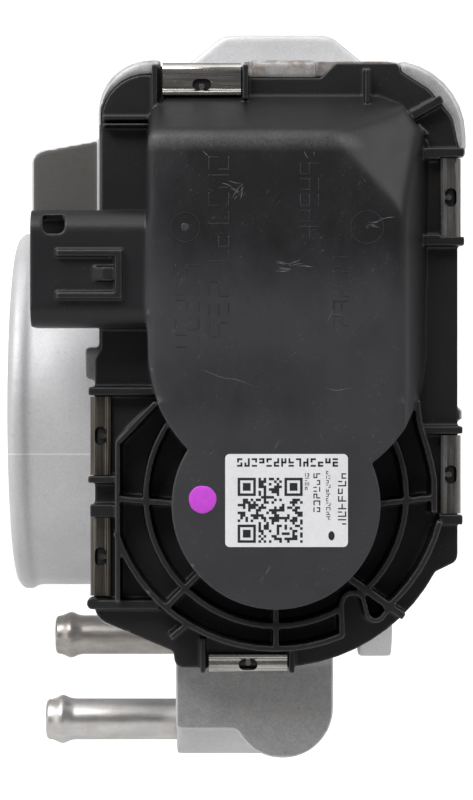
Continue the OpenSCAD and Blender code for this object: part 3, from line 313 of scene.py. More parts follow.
@dataclass(frozen=True)
class CastAlloy(Finish):
    """Blasted die-cast aluminium, with mottled casting skin on chosen faces, darkened as painted shade where
    they look towards the camera.
    """

    light: Colour = (0.76, 0.76, 0.77)
    dark: Colour = (0.60, 0.60, 0.61)
    # Mottled skin colours, which also serve as painted shade on faces that look towards the camera
    skin_and_front_shade: Colour = (0.175, 0.170, 0.165)
    skin_and_front_shade_pale: Colour = (0.285, 0.278, 0.272)
    warm: Colour = (0.235, 0.205, 0.185)
    bright: Colour = (0.95, 0.95, 0.95)
    seam_z: float = 8.0
    stain: Colour = (0.16, 0.115, 0.085)
    # Painted shade laid over the left plate's front face
    shaded: Colour = (0.045, 0.042, 0.038)
    grain: float = 1.9
    rough: float = 0.56

    def draw(self, graph: Graph) -> None:
        """Draws blasted metal, with mottled skin used as painted shade on camera-facing faces, painted shade
        on the left plate, stain and a mould seam.
        """
        at = graph.place()
        x, y, z = graph.parts(at)
        cloud = graph.noise(at, 0.07, 4.0, 0.6)
        mottle = graph.noise(at, 0.55, 5.0, 0.68)
        grain = graph.noise(at, self.grain, 3.0, 0.7)
        pits = graph.noise(at, 0.85, 4.0, 0.6).ease(0.66, 0.72)
        fine = graph.noise(at, self.grain * 1.9, 2.0, 0.7)
        blast = (cloud * 0.5 + grain * 0.35 + fine * 0.5 - 0.25).ease(0.15, 0.72)
        blasted = graph.mix(blast, self.dark, self.light)
        spotted = (mottle * 0.45 + grain * 0.35 + fine * 0.45 - 0.12).ease(0.36, 0.66)
        skin_and_front_shade_colour = graph.mix(spotted, self.skin_and_front_shade, self.skin_and_front_shade_pale)
        skin_and_front_shade_colour = graph.mix(cloud.ease(0.50, 0.68) * 0.5, skin_and_front_shade_colour, self.warm)
        seam = abs(z + self.seam_z).ease(0.22, 0.08) * x.ease(-46.0, -47.0)
        blasted = graph.mix(seam * 0.6, blasted, self.bright)
        # Painted shade: faces that look towards the camera (-Y) on the lug, the left plate and the rim take
        # the darker mottled skin colour
        front = graph.facing((0.0, -1.0, 0.0)).ease(0.80, 0.97)
        low = z.ease(-46.0, -47.5)
        side = x.ease(-51.0, -54.5) * z.ease(10.0, 13.0) * y.ease(-40.0, -42.5)
        rim = (y.ease(-40.0, -46.0) * (1 - low)) * 0.55
        lug = low * y.ease(-38.0, -42.0) * 0.72
        share = (front * (lug + side + rim) + pits * 0.2).larger(0.0)
        colour = graph.mix(share, blasted, skin_and_front_shade_colour)
        # Painted shade: the left plate's front face is darkened further
        colour = graph.mix(front * side * (0.40 + spotted * 0.30), colour, self.shaded)
        stained = y.ease(-46.5, -48.5) * z.ease(57.0, 60.5) * (mottle * 0.5 + cloud * 0.6).ease(0.42, 0.68)
        colour = graph.mix(stained * 0.8, colour, self.stain)
        relief = graph.bump(grain * 0.5 + fine * 0.3 + mottle * 0.2, 0.14 * MM, 0.6)
        graph.finish(
            {
                "Base Color": colour,
                "Metallic": 0.45 - 0.2 * stained,
                "IOR": 1.3,
                "Roughness": self.rough + (mottle - 0.5) * 0.25,
                "Normal": relief,
            }
        )


@dataclass(frozen=True)
class WornPlastic(Finish):
    """Black glass-filled moulding with rubbed edges, haze, scratches and a painted highlight along the dome's
    upper ridge.
    """

    base: Colour = (0.0105, 0.0105, 0.0118)
    haze: Colour = (0.036, 0.036, 0.041)
    # Colour of rubbed edges and of the painted ridge highlight
    rubbed_and_ridge_highlight: Colour = (0.115, 0.113, 0.112)
    rough: float = 0.40
    face_y: float = -66.0
    # Heights between which the face turns lighter towards the bottom
    lighter_below_z: Flat = (34.0, 16.0)
    # Height of the painted highlight along the dome's upper ridge
    ridge_highlight_z: float = 48.3

    def scratches(self, graph: Graph, at: Sock, angle: float, fine: float) -> Sock:
        """Draws thin broken lines along one direction.

        Args:
            graph: The material's graph.
            at: The point in millimetres.
            angle: Direction of the lines in degrees.
            fine: Lines per millimetre across.

        Returns:
            1 on a scratch and 0 elsewhere.
        """
        along = graph.scaled(graph.turned(at, angle), (0.06, 0.3, fine))
        line = abs(graph.noise(along, 1.0, 1.5, 0.5) - 0.5).ease(0.006, 0.001)
        broken = graph.noise(graph.turned(at, angle), 0.22, 2.0, 0.5).ease(0.63, 0.70)
        return line * broken

    def draw(self, graph: Graph) -> None:
        """Draws worn plastic, with haze, scratches, dust, rubbed edges and a painted ridge highlight."""
        at = graph.place()
        x, y, z = graph.parts(at)
        cloud = graph.noise(at, 0.09, 4.0, 0.6)
        smear = graph.noise(graph.scaled(at, (0.22, 0.22, 0.12)), 1.0, 5.0, 0.65)
        speck = graph.noise(at, 2.6, 2.0, 0.6)
        texture = graph.noise(at, 5.0, 2.0, 0.6)
        on_dome = x.ease(-46.2, -45.0)
        top = y.ease(self.face_y + 4.0, self.face_y + 0.3) * on_dome
        # Painted highlight: a lighter band along the rounded ridge between the dome's face and its top slope
        ridge_highlight = abs(z - self.ridge_highlight_z).ease(2.4, 0.2) * y.ease(-63.0, -65.0) * x.ease(-3.0, -9.0) * on_dome
        # The face turns lighter towards the bottom; dip darkens a band near z 4.5 left of the middle, and
        # side lightens the far left
        low = z.ease(*self.lighter_below_z)
        dip = abs(z - 4.5).ease(9.0, 2.0) * x.ease(-9.0, -21.0) * 0.38
        side = x.ease(-36.0, -43.0) * 0.25
        patches = (smear * 0.5 + cloud * 0.5 - 0.5) * 1.1
        grain = (texture - 0.5) * 0.5
        hazy = (low * 0.95 - dip + side + patches + grain).larger(0.0) * (0.10 + 0.90 * top)
        worn = (graph.edges() + (speck - 0.5) * 0.05).ease(0.515, 0.60)
        lines = self.scratches(graph, at, 62.0, 1.4).larger(self.scratches(graph, at, 148.0, 1.1)) * top
        dust = speck.ease(0.665, 0.74) * (0.25 + 0.75 * smear.ease(0.5, 0.62))
        scuffs = graph.noise(at, 0.32, 5.0, 0.72, 1.6).ease(0.63, 0.70) * smear.ease(0.45, 0.6) * top
        colour = graph.mix(hazy, self.base, self.haze)
        marks = (worn * 0.7).larger(lines * 0.85).larger(dust * 0.7).larger(scuffs * 0.4)
        # The painted ridge highlight is mixed in with the rubbed colour
        marks = marks.larger(ridge_highlight * (0.45 + (speck + cloud - 1.0) * 0.9))
        colour = graph.mix(marks, colour, self.rubbed_and_ridge_highlight)
        relief = graph.bump(texture, 0.035 * MM, 0.6)
        graph.finish(
            {
                "Base Color": colour,
                "Roughness": self.rough + (hazy * 0.12) + (smear - 0.5) * 0.16 + worn * 0.08,
                "IOR": 1.43,
                "Normal": relief,
            }
        )


@dataclass(frozen=True)
class Metal(Finish):
    """Rolled, drawn or machined metal with fine marks along one axis."""

    light: Colour = (0.62, 0.61, 0.59)
    dark: Colour = (0.34, 0.32, 0.30)
    tint: Colour = (0.16, 0.12, 0.09)
    tinted: float = 0.2
    rough: float = 0.28
    stretch: Point = (0.12, 2.4, 2.4)

    def draw(self, graph: Graph) -> None:
        """Draws metal with marks along one axis."""
        at = graph.place()
        cloud = graph.noise(at, 0.28, 4.0, 0.6)
        marks = graph.noise(graph.scaled(at, self.stretch), 1.0, 4.0, 0.6)
        spots = graph.noise(at, 1.5, 4.0, 0.65).ease(0.60, 0.72)
        colour = graph.mix((marks * 0.8 + cloud * 0.3).ease(0.38, 0.72), self.dark, self.light)
        colour = graph.mix((cloud.ease(0.42, 0.70) * 0.6 + spots * 0.5) * self.tinted, colour, self.tint)
        graph.finish(
            {
                "Base Color": colour,
                "Metallic": 1.0,
                "Roughness": self.rough + (marks - 0.5) * 0.16 + spots * 0.15,
                "Normal": graph.bump(marks, 0.02 * MM, 0.5),
            }
        )


@dataclass(frozen=True)
class Moulded(Finish):
    """Plain plastic, rubber, ferrite, board or winding with slight clouding."""

    light: Colour = (0.8, 0.78, 0.7)
    dark: Colour = (0.62, 0.6, 0.53)
    rough: float = 0.5
    metallic: float = 0.0
    grain: float = 2.0

    def draw(self, graph: Graph) -> None:
        """Draws a slightly clouded moulding."""
        at = graph.place()
        cloud = graph.noise(at, 0.2, 4.0, 0.6)
        grain = graph.noise(at, self.grain, 3.0, 0.6)
        graph.finish(
            {
                "Base Color": graph.mix((cloud * 0.6 + grain * 0.5).ease(0.35, 0.75), self.dark, self.light),
                "Metallic": self.metallic,
                "Roughness": self.rough + (cloud - 0.5) * 0.2,
                "Normal": graph.bump(grain, 0.03 * MM, 0.4),
            }
        )


@dataclass(frozen=True)
class Studio(Finish):
    """Bright paper of the floor and backdrop, which turns grey towards the front."""

    light: Colour = (1.0, 1.0, 1.0)
    dark: Colour = (0.985, 0.985, 0.985)
    near: Colour = (0.42, 0.42, 0.42)
    glow: float = 0.55

    def draw(self, graph: Graph) -> None:
        """Draws paper that turns grey towards the front."""
        at = graph.place()
        _, y, _ = graph.parts(at)
        paper = graph.mix(graph.noise(at, 0.004, 2.0).ease(0.3, 0.7), self.dark, self.light)
        colour = graph.mix(y.ease(60.0, 240.0), self.near, paper)
        graph.finish(
            {"Base Color": colour, "Roughness": 0.9, "Emission Color": colour, "Emission Strength": self.glow}
        )


CAST = CastAlloy("cast_alloy")
COVER_PLASTIC = WornPlastic("glass_filled_plastic")
BRIGHT_CLIP = Metal("bright_spring_strip", rough=0.24, stretch=(0.10, 1.6, 3.2))
GREY_CLIP = Metal(
    "grey_spring_strip",
    light=(0.44, 0.43, 0.42),
    dark=(0.26, 0.25, 0.24),
    tinted=0.35,
    stretch=(3.2, 1.6, 0.10),
)
BROWN_CLIP = Metal(
    "brown_spring_strip",
    light=(0.20, 0.18, 0.155),
    dark=(0.095, 0.085, 0.075),
    tint=(0.06, 0.045, 0.03),
    tinted=0.6,
    rough=0.34,
    stretch=(3.2, 1.6, 0.10),
)
AGED_PIPE = Metal(
    "aged_tube",
    light=(0.56, 0.53, 0.50),
    dark=(0.40, 0.375, 0.35),
    tint=(0.20, 0.155, 0.12),
    tinted=0.6,
    rough=0.36,
    stretch=(0.12, 0.5, 0.5),
)
PIPE = Metal(
    "plated_tube",
    light=(0.80, 0.78, 0.76),
    dark=(0.66, 0.645, 0.63),
    tint=(0.30, 0.25, 0.21),
    tinted=0.35,
    rough=0.36,
    stretch=(0.12, 0.5, 0.5),
)
STEEL = Metal("ground_steel")
DARK_STEEL = Metal("phosphated_steel", (0.26, 0.26, 0.27), (0.14, 0.14, 0.15), tinted=0.15, rough=0.42)
BRASS = Metal("turned_brass", (0.78, 0.60, 0.30), (0.56, 0.42, 0.20), (0.30, 0.20, 0.09), 0.25, 0.26)
COPPER = Moulded("enamelled_copper", (0.72, 0.34, 0.18), (0.48, 0.20, 0.10), 0.32, 0.9, 3.0)
NYLON = Moulded("gear_nylon")
RUBBER = Moulded("seal_rubber", (0.03, 0.03, 0.03), (0.016, 0.016, 0.016), 0.75)
FERRITE = Moulded("sintered_ferrite", (0.10, 0.10, 0.105), (0.06, 0.06, 0.065), 0.6, 0.3)
BOARD = Moulded("printed_board", (0.03, 0.17, 0.08), (0.02, 0.11, 0.05), 0.35)
BLACK_MOULDING = Moulded("black_moulding", (0.03, 0.03, 0.032), (0.018, 0.018, 0.02), 0.45)
RAISED_MARK = Moulded("raised_mark", (0.045, 0.045, 0.050), (0.016, 0.016, 0.018), 0.42)
SCRATCH = Moulded("scratch", (0.20, 0.20, 0.205), (0.07, 0.07, 0.073), 0.5)
LABEL_FILM = Moulded("label_film", (0.86, 0.86, 0.87), (0.78, 0.78, 0.80), 0.42)
PRINT_INK = Moulded("print_ink", (0.02, 0.02, 0.024), (0.012, 0.012, 0.014), 0.5)
DOT_PAINT = Moulded("magenta_marker", (0.68, 0.085, 0.77), (0.56, 0.065, 0.64), 0.38)
PAPER = Studio("studio_paper")


def dress(obj: bpy.types.Object, finish: Finish) -> None:
    """Gives an object one finish.

    Args:
        obj: The object.
        finish: Its finish.
    """
    obj.data.materials.clear()
    obj.data.materials.append(finish.build())


def link(name: str, mesh: bpy.types.Mesh) -> bpy.types.Object:
    """Puts a mesh into the scene.

    Args:
        name: The object's name.
        mesh: Its mesh.

    Returns:
        The new object.
    """
    obj = bpy.data.objects.new(name, mesh)
    bpy.context.scene.collection.objects.link(obj)
    return obj


def mesh_of(
    name: str, points: Sequence[Point], faces: Sequence[Sequence[int]], smooth: bool
) -> bpy.types.Object:
    """Makes an object from points and faces.

    Args:
        name: The object's name.
        points: Corners in metres.
        faces: Corner numbers of each face.
        smooth: Whether the faces are shaded smooth.

    Returns:
        The new object.
    """
    mesh = bpy.data.meshes.new(name)
    mesh.from_pydata([tuple(p) for p in points], [], [tuple(f) for f in faces])
    mesh.polygons.foreach_set("use_smooth", [smooth] * len(mesh.polygons))
    mesh.update()
    return link(name, mesh)


# ---- Solids with natural edges ----


@dataclass(frozen=True)
class Remesher:
    """Turns a CAD node into a dense mesh whose edges are eased, as moulding and casting leave them."""

    voxel: float
    passes: int
    keep_size: bool = True

    def copy(self, node: str, name: str) -> bpy.types.Object:
        """Makes the eased copy of a CAD node.

        Args:
            node: The CAD node.
            name: Name of the copy.

        Returns:
            The new object, at rest in the row frame.
        """
        source = link(name + "_source", frame["nodes"][node].data.copy())
        modifier = source.modifiers.new("voxels", "REMESH")
        modifier.mode = "VOXEL"
        modifier.voxel_size = self.voxel * MM
        graph = bpy.context.evaluated_depsgraph_get()
        graph.update()
        mesh = bpy.data.meshes.new_from_object(source.evaluated_get(graph))
        bpy.data.objects.remove(source)
        mesh.name = name
        mesh.polygons.foreach_set("use_smooth", [True] * len(mesh.polygons))
        obj = link(name, mesh)
        self.relax(mesh, self.passes, None)
        return obj

    def relax(
        self, mesh: bpy.types.Mesh, passes: int, where: Optional[Callable[[np.ndarray], np.ndarray]] = None
    ) -> None:
        """Moves each corner towards its neighbours' middle.

        Args:
            mesh: The mesh, changed in place.
            passes: How many times.
            where: Gives each corner's share, from corners in millimetres; everywhere if left out.
        """
        count = len(mesh.vertices)
        points = np.zeros(count * 3)
        mesh.vertices.foreach_get("co", points)
        points = points.reshape(-1, 3) / MM
        pairs = np.zeros(len(mesh.edges) * 2, dtype=np.int64)
        mesh.edges.foreach_get("vertices", pairs)
        a, b = pairs.reshape(-1, 2).T
        degree = np.maximum(np.bincount(a, minlength=count) + np.bincount(b, minlength=count), 1)
        share = np.ones(count) if where is None else where(points)
        steps = [0.5, -0.52] if self.keep_size and where is None else [0.5, 0.5]
        for _ in range(passes):
            for step in steps:
                total = np.stack(
                    [
                        np.bincount(a, points[b, k], count) + np.bincount(b, points[a, k], count)
                        for k in range(3)
                    ],
                    axis=1,
                )
                points += (step * share)[:, None] * (total / degree[:, None] - points)
        mesh.vertices.foreach_set("co", (points * MM).astype(np.float32).ravel())
        mesh.update()


@dataclass
class Housing:
    """The cast housing."""

    voxel: float = 0.40
    passes: int = 3
    soft_passes: int = 3

    def build(self) -> None:
        """Builds the casting's looks."""
        remesher = Remesher(self.voxel * (1.0), self.passes)
        body = remesher.copy("throttle_housing", "housing_casting")
        remesher.relax(body.data, self.soft_passes, self.away_from_rim)
        dress(body, CAST)
        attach(body, "housing")
        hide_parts("throttle_housing")
        log.info("housing_casting: %d faces", len(body.data.polygons))

    @staticmethod
    def away_from_rim(points: np.ndarray) -> np.ndarray:
        """Share of extra easing: none at the sealing faces, full on the outside of the casting."""
        inside = np.hypot(points[:, 1], points[:, 2]) < BORE_EASE_R
        behind = points[:, 1] > COVER_JOINT_Y
        return np.where(behind & ~inside, 1.0, 0.0)


@dataclass
class HosePipe:
    """A coolant pipe with its hose bead, turned about an axis along X."""

    node: str
    finish: Finish
    outer: float = 3.85
    inner: float = 2.9
    bead: float = 4.6
    sides: int = 72

    def profile(self, length: float) -> List[Flat]:
        """Returns the outline as (distance from the inner end, radius) in millimetres."""
        crest = length - 3.0
        line: List[Flat] = [(0.0, self.inner), (0.0, self.outer)]
        for i in range(25):
            t = i / 24
            rise = math.exp(-(((t - 0.5) * 5.2 / 1.35) ** 2))
            line.append((crest - 2.6 + 5.2 * t, self.outer - 0.1 * t + (self.bead - self.outer) * rise))
        line += [(length - 0.25, self.outer - 0.25), (length, self.outer - 0.55), (length, self.inner + 0.1)]
        line += [(length - 0.4, self.inner)]
        return line

    def build(self) -> None:
        """Builds the pipe in the place of its CAD node."""
        low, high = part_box(self.node)
        length = (high.x - low.x) / MM
        middle = (low + high) / 2
        line = self.profile(length)
        points: List[Point] = []
        faces: List[Sequence[int]] = []
        for along, radius in line:
            for k in range(self.sides):
                a = 2 * math.pi * k / self.sides
                points.append(
                    (
                        high.x - along * MM,
                        middle.y + radius * math.cos(a) * MM,
                        middle.z + radius * math.sin(a) * MM,
                    )
                )
        rings = len(line)
        for i in range(rings):
            for k in range(self.sides):
                j, m = (i + 1) % rings, (k + 1) % self.sides
                faces.append((i * self.sides + k, j * self.sides + k, j * self.sides + m, i * self.sides + m))
        pipe = mesh_of(self.node + "_tube", points, faces, True)
        bevel = pipe.modifiers.new("edges", "BEVEL")
        bevel.width = 0.15 * MM
        bevel.segments = 2
        bevel.limit_method = "ANGLE"
        bevel.angle_limit = math.radians(35)
        dress(pipe, self.finish)
        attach(pipe, "housing")
        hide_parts(self.node)
        log.info("%s: %d faces", pipe.name, len(pipe.data.polygons))


@dataclass
class GearCover:
    """The black moulded cover with its dome, ribs and connector."""

    voxel: float = 0.27
    passes: int = 2
    dome_passes: int = 70

    def build(self) -> None:
        """Builds the cover's looks."""
        remesher = Remesher(self.voxel * (1.0), self.passes)
        cover = remesher.copy("gear_cover", "cover_moulding")
        remesher.relax(cover.data, self.dome_passes // (1), self.dome_share)
        dress(cover, COVER_PLASTIC)
        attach(cover, "housing")
        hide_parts("gear_cover")
        log.info("cover_moulding: %d faces", len(cover.data.polygons))

    def dome_share(self, points: np.ndarray) -> np.ndarray:
        """Share of extra easing, which rounds the dome's upper edges."""
        x, y, z = points.T
        inside = (x > -45.3) & (x < 7.5) & (y < -56.5) & (z > 2.0)
        return np.where(inside, np.clip((-56.5 - y) / 2.0, 0.0, 1.0), 0.0)


class Edge(Enum):
    """Which finish a clip has."""

    BRIGHT = "bright"
    GREY = "grey"
    BROWN = "brown"


@dataclass
class Clips:
    """The six spring clips that hold the cover down."""

    kinds: Dict[str, Edge] = field(
        default_factory=lambda: {
            "cover_clip_top": Edge.BRIGHT,
            "cover_clip_bottom": Edge.BRIGHT,
            "cover_clip_left_upper": Edge.BROWN,
            "cover_clip_left_lower": Edge.BROWN,
            "cover_clip_right_upper": Edge.GREY,
            "cover_clip_right_lower": Edge.GREY,
        }
    )
    rounding: float = 0.09

    def build(self) -> None:
        """Gives each clip its finish and eased edges."""
        finishes = {Edge.BRIGHT: BRIGHT_CLIP, Edge.GREY: GREY_CLIP, Edge.BROWN: BROWN_CLIP}
        for name, kind in self.kinds.items():
            node = frame["nodes"][name]
            ease_edges(node, self.rounding)
            dress(node, finishes[kind])
            log.info("%s: %s", name, kind.value)


def ease_edges(obj: bpy.types.Object, width: float) -> None:
    """Adds modifiers that join a CAD node's split corners and round its edges.

    Args:
        obj: The CAD node.
        width: Width of the rounding in millimetres.
    """
    weld = obj.modifiers.new("join", "WELD")
    weld.merge_threshold = 0.001 * MM
    bevel = obj.modifiers.new("edges", "BEVEL")
    bevel.width = width * MM
    bevel.segments = 2
    bevel.limit_method = "ANGLE"
    bevel.angle_limit = math.radians(40)


@dataclass
class Label:
    """The stuck-on label with its printing, and the paint mark beside it."""

    seed: int = 11
    cell: float = 0.46
    cells: int = 25
    ink_lift: float = 0.012
    dot_offset: Flat = (-14.85, 0.18)
    dot_r: float = 2.46
    dot_y: float = -66.0

    def build(self) -> None:
        """Builds the printing and the paint mark."""
        node = frame["nodes"]["label"]
        dress(node, LABEL_FILM)
        low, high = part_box("label")
        self.face_y = low.y / MM - self.ink_lift
        self.left, self.right = low.x / MM, high.x / MM
        self.low, self.high = low.z / MM, high.z / MM
        rng = random.Random(self.seed)
        self.quads: List[Box] = []
        self.matrix(rng)
        self.glyph_row(rng, self.left + 2.1, self.high - 2.25, 14, 1.3, 1.5, False, 0.25)
        self.glyph_row(rng, self.right - 1.75, self.high - 3.4, 7, 1.35, 1.45, True)
        self.glyph_row(rng, self.right - 3.85, self.high - 3.0, 11, 0.8, 0.75, True)
        self.glyph_row(rng, self.right - 6.1, self.high - 3.4, 6, 1.2, 1.2, True)
        self.glyph_row(rng, self.right - 7.6, self.high - 3.4, 4, 0.8, 0.75, True)
        self.round_mark(self.right - 2.9, self.low + 2.0, 0.8)
        self.ink()
        self.paint_mark()

    def matrix(self, rng: random.Random) -> None:
        """Adds a square of scattered cells with three framed corners."""
        x0, z0 = self.left + 2.2, self.low + 0.75
        ring = {0, 6}
        for i in range(self.cells):
            for j in range(self.cells):
                corner = self.corner_cell(i, j)
                if corner is None:
                    filled = rng.random() < 0.48
                else:
                    u, v = corner
                    filled = u in ring or v in ring or (2 <= u <= 4 and 2 <= v <= 4)
                    filled = filled and u <= 6 and v <= 6
                if filled:
                    x, z = x0 + i * self.cell, z0 + j * self.cell
                    self.quads.append((x, z, x + self.cell, z + self.cell))

    def corner_cell(self, i: int, j: int) -> Optional[Tuple[int, int]]:
        """Returns a cell's place in the corner frame that holds it, or None."""
        last = self.cells - 1
        for u, v in ((i, j), (i, last - j), (last - i, last - j)):
            if u <= 7 and v <= 7:
                return u, v
        return None

    def glyph_row(
        self,
        rng: random.Random,
        x: float,
        z: float,
        count: int,
        wide: float,
        tall: float,
        turned: bool,
        weight: float = 0.17,
    ) -> None:
        """Adds a row of made-up marks, each a few strokes of a frame.

        Args:
            rng: Source of the strokes.
            x: Left of the row, or its right side if it is turned.
            z: Foot of the row, or its start if it is turned.
            count: Number of marks.
            wide: Step from mark to mark.
            tall: Height of a mark.
            turned: Whether the row runs down instead of across.
            weight: Width of a stroke as a share of the step.
        """
        for i in range(count):
            strokes = glyph_strokes(rng, wide * 0.72, tall, wide * weight)
            for a, b, c, d in strokes:
                if turned:
                    self.quads.append((x + b, z - i * wide - c, x + d, z - i * wide - a))
                else:
                    self.quads.append((x + i * wide + a, z + b, x + i * wide + c, z + d))

    def round_mark(self, x: float, z: float, r: float) -> None:
        """Adds a plain round mark made of short strips."""
        steps = 9
        for i in range(steps):
            h = r * (2 * (i + 0.5) / steps - 1)
            half = math.sqrt(max(r * r - h * h, 0.0)) * 0.7
            self.quads.append((x - half, z + h - r / steps, x + half, z + h + r / steps))

    def ink(self) -> None:
        """Builds the printing as one thin piece."""
        points: List[Point] = []
        faces: List[Sequence[int]] = []
        for a, b, c, d in self.quads:
            n = len(points)
            points += [(u * MM, self.face_y * MM, v * MM) for u, v in ((a, b), (c, b), (c, d), (a, d))]
            faces.append((n, n + 1, n + 2, n + 3))
        ink = mesh_of("label_printing", points, faces, False)
        dress(ink, PRINT_INK)
        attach(ink, "housing")
        log.info("label_printing: %d marks", len(self.quads))

    def paint_mark(self) -> None:
        """Builds the round dab of paint left of the label."""
        across, up = self.dot_offset
        centre = ((self.left + self.right) / 2 + across, (self.low + self.high) / 2 + up)
        radius, sides, y = self.dot_r, 64, self.dot_y
        points: List[Point] = []
        for share, lift in ((1.0, 0.0), (0.965, 0.05), (0.85, 0.075), (0.4, 0.07)):
            for k in range(sides):
                a = 2 * math.pi * k / sides
                r = radius * share * (1 + 0.012 * math.sin(3 * a + 0.6) + 0.008 * math.sin(7 * a))
                points.append(
                    ((centre[0] + r * math.cos(a)) * MM, (y - lift) * MM, (centre[1] + r * math.sin(a)) * MM)
                )
        faces: List[Sequence[int]] = []
        for i in range(3):
            for k in range(sides):
                m = (k + 1) % sides
                faces.append((i * sides + k, i * sides + m, (i + 1) * sides + m, (i + 1) * sides + k))
        faces.append([3 * sides + k for k in range(sides)])
        faces.append([k for k in range(sides - 1, -1, -1)])
        mark = mesh_of("paint_mark", points, faces, True)
        dress(mark, DOT_PAINT)
        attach(mark, "housing")
        log.info("paint_mark: %d faces", len(mark.data.polygons))


@dataclass
class Relief:
    """Faint raised figures, gate marks and scratches on the face of the dome."""

    seed: int = 5
    face_y: float = -66.0
    rise: float = 0.05
    stroke: float = 0.2
    # Left and right side, top, number and step of each column of figures
    columns: Tuple[Tuple[float, float, float, int, float], ...] = (
        (-40.2, -35.9, 26.2, 5, 3.1),
        (-34.3, -30.6, 45.3, 4, 3.2),
        (-34.3, -30.6, 31.2, 2, 2.6),
        (-34.3, -30.6, 23.2, 3, 3.6),
        (-18.1, -14.7, 44.2, 5, 2.8),
        (-12.2, -9.2, 27.6, 5, 2.6),
    )
    # Middle, ring and spot of each gate mark
    gates: Tuple[Tuple[float, float, float, float], ...] = ((-38.4, 32.8, 2.6, 0.72), (-6.2, 32.8, 2.9, 0.3))
    # Start, heading in degrees, length and number of each group of scratches
    scratches: Tuple[Tuple[float, float, float, float, int], ...] = (
        (-31.5, 40.5, -35.0, 3.2, 4),
        (-29.5, 37.2, 48.0, 4.6, 4),
        (-22.0, 25.8, -8.0, 3.0, 5),
        (-19.2, 26.4, 24.0, 3.4, 4),
        (-5.4, 33.8, 22.0, 3.4, 5),
        (-34.6, 47.3, -52.0, 2.2, 2),
        (-16.4, 46.4, -60.0, 1.8, 2),
        (-37.0, 7.4, 6.0, 16.0, 1),
        (-14.6, 4.6, 14.0, 7.0, 1),
    )

    def build(self) -> None:
        """Builds the raised marks and the scratches."""
        rng = random.Random(self.seed)
        self.points: List[Point] = []
        self.faces: List[Sequence[int]] = []
        for left, right, top, count, step in self.columns:
            for i in range(count):
                for a, b, c, d in glyph_strokes(rng, step * 0.74, right - left, self.stroke):
                    z = top - i * step
                    self.plateau([(left + b, z - c), (left + d, z - c), (left + d, z - a), (left + b, z - a)])
        for x, z, ring, spot in self.gates:
            self.ring(x, z, ring)
            self.spot(x, z, spot)
        self.piece("raised_marks", RAISED_MARK)
        self.points, self.faces = [], []
        for x, z, heading, length, count in self.scratches:
            for _ in range(count):
                start = (x + rng.uniform(-1.2, 1.2), z + rng.uniform(-1.0, 1.0))
                self.scratch(rng, start, heading + rng.uniform(-22.0, 22.0), length * rng.uniform(0.4, 1.0))
        self.piece("scratches", SCRATCH)

    def piece(self, name: str, finish: Finish) -> None:
        """Turns the gathered faces into one piece on the cover."""
        obj = mesh_of(name, self.points, self.faces, False)
        dress(obj, finish)
        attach(obj, "housing")
        log.info("%s: %d faces", name, len(self.faces))

    def plateau(self, outline: Sequence[Flat]) -> None:
        """Adds a low block with sloping sides above the face."""
        n, count = len(self.points), len(outline)
        x = sum(p[0] for p in outline) / count
        z = sum(p[1] for p in outline) / count
        for share, y in ((1.0, self.face_y + 0.01), (0.8, self.face_y - self.rise)):
            self.points += [
                ((x + (u - x) * share) * MM, y * MM, (z + (v - z) * share) * MM) for u, v in outline
            ]
        for k in range(count):
            m = (k + 1) % count
            self.faces.append((n + k, n + m, n + count + m, n + count + k))
        self.faces.append([n + count + k for k in range(count)])

    def ring(self, x: float, z: float, radius: float) -> None:
        """Adds a fine raised ring."""
        sides, half = 56, 0.09
        for k in range(sides):
            a, b = 2 * math.pi * k / sides, 2 * math.pi * (k + 1) / sides
            self.plateau(
                [
                    (x + (radius + r) * math.cos(t), z + (radius + r) * math.sin(t))
                    for r, t in ((-half, a), (half, a), (half, b), (-half, b))
                ]
            )

    def spot(self, x: float, z: float, radius: float) -> None:
        """Adds the stub of a gate."""
        sides = 28
        outline = []
        for k in range(sides):
            a = 2 * math.pi * k / sides
            r = radius * (1 + 0.09 * math.sin(3 * a + 1.0) + 0.05 * math.sin(8 * a))
            outline.append((x + r * math.cos(a), z + r * math.sin(a)))
        self.plateau(outline)

    def scratch(self, rng: random.Random, start: Flat, heading: float, length: float) -> None:
        """Adds one thin wandering line that ends in points.

        Args:
            rng: Source of the wandering.
            start: Where it starts, in millimetres.
            heading: Its direction in degrees.
            length: Its length in millimetres.
        """
        steps = max(5, int(length / 0.35))
        x, z = start
        turn, n = math.radians(heading), len(self.points)
        for i in range(steps + 1):
            turn += rng.uniform(-0.16, 0.16)
            half = 0.055 * math.sin(math.pi * (i + 0.2) / (steps + 0.4)) * rng.uniform(0.5, 1.3)
            for side in (-1, 1):
                self.points.append(
                    (
                        (x - side * half * math.sin(turn)) * MM,
                        (self.face_y - 0.015) * MM,
                        (z + side * half * math.cos(turn)) * MM,
                    )
                )
            x += length / steps * math.cos(turn)
            z += length / steps * math.sin(turn)
        for i in range(steps):
            a = n + 2 * i
            self.faces.append((a, a + 2, a + 3, a + 1))


@dataclass
class ReturnCoil:
    """The return spring."""

    back_y: float = -39.8
    front_y: float = -43.4

    def build(self) -> None:
        """Builds the coil from its CAD node."""
        coil = link("return_coil", frame["nodes"]["return_spring"].data.copy())
        coil.data.polygons.foreach_set("use_smooth", [True] * len(coil.data.polygons))
        dress(coil, GREY_CLIP)
        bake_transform(coil)
        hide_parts("return_spring")


def glyph_strokes(rng: random.Random, wide: float, tall: float, thick: float) -> List[Box]:
    """Picks a few strokes of a framed figure that spells nothing.

    Args:
        rng: Source of the choice.
        wide: Width of the figure.
        tall: Height of the figure.
        thick: Thickness of a stroke.

    Returns:
        Rectangles as (left, foot, right, head).
    """
    mid = tall / 2
    every = [
        (0.0, 0.0, wide, thick),
        (0.0, tall - thick, wide, tall),
        (0.0, mid - thick / 2, wide, mid + thick / 2),
        (0.0, 0.0, thick, mid),
        (0.0, mid, thick, tall),
        (wide - thick, 0.0, wide, mid),
        (wide - thick, mid, wide, tall),
    ]
    return rng.sample(every, rng.choice((3, 4)))


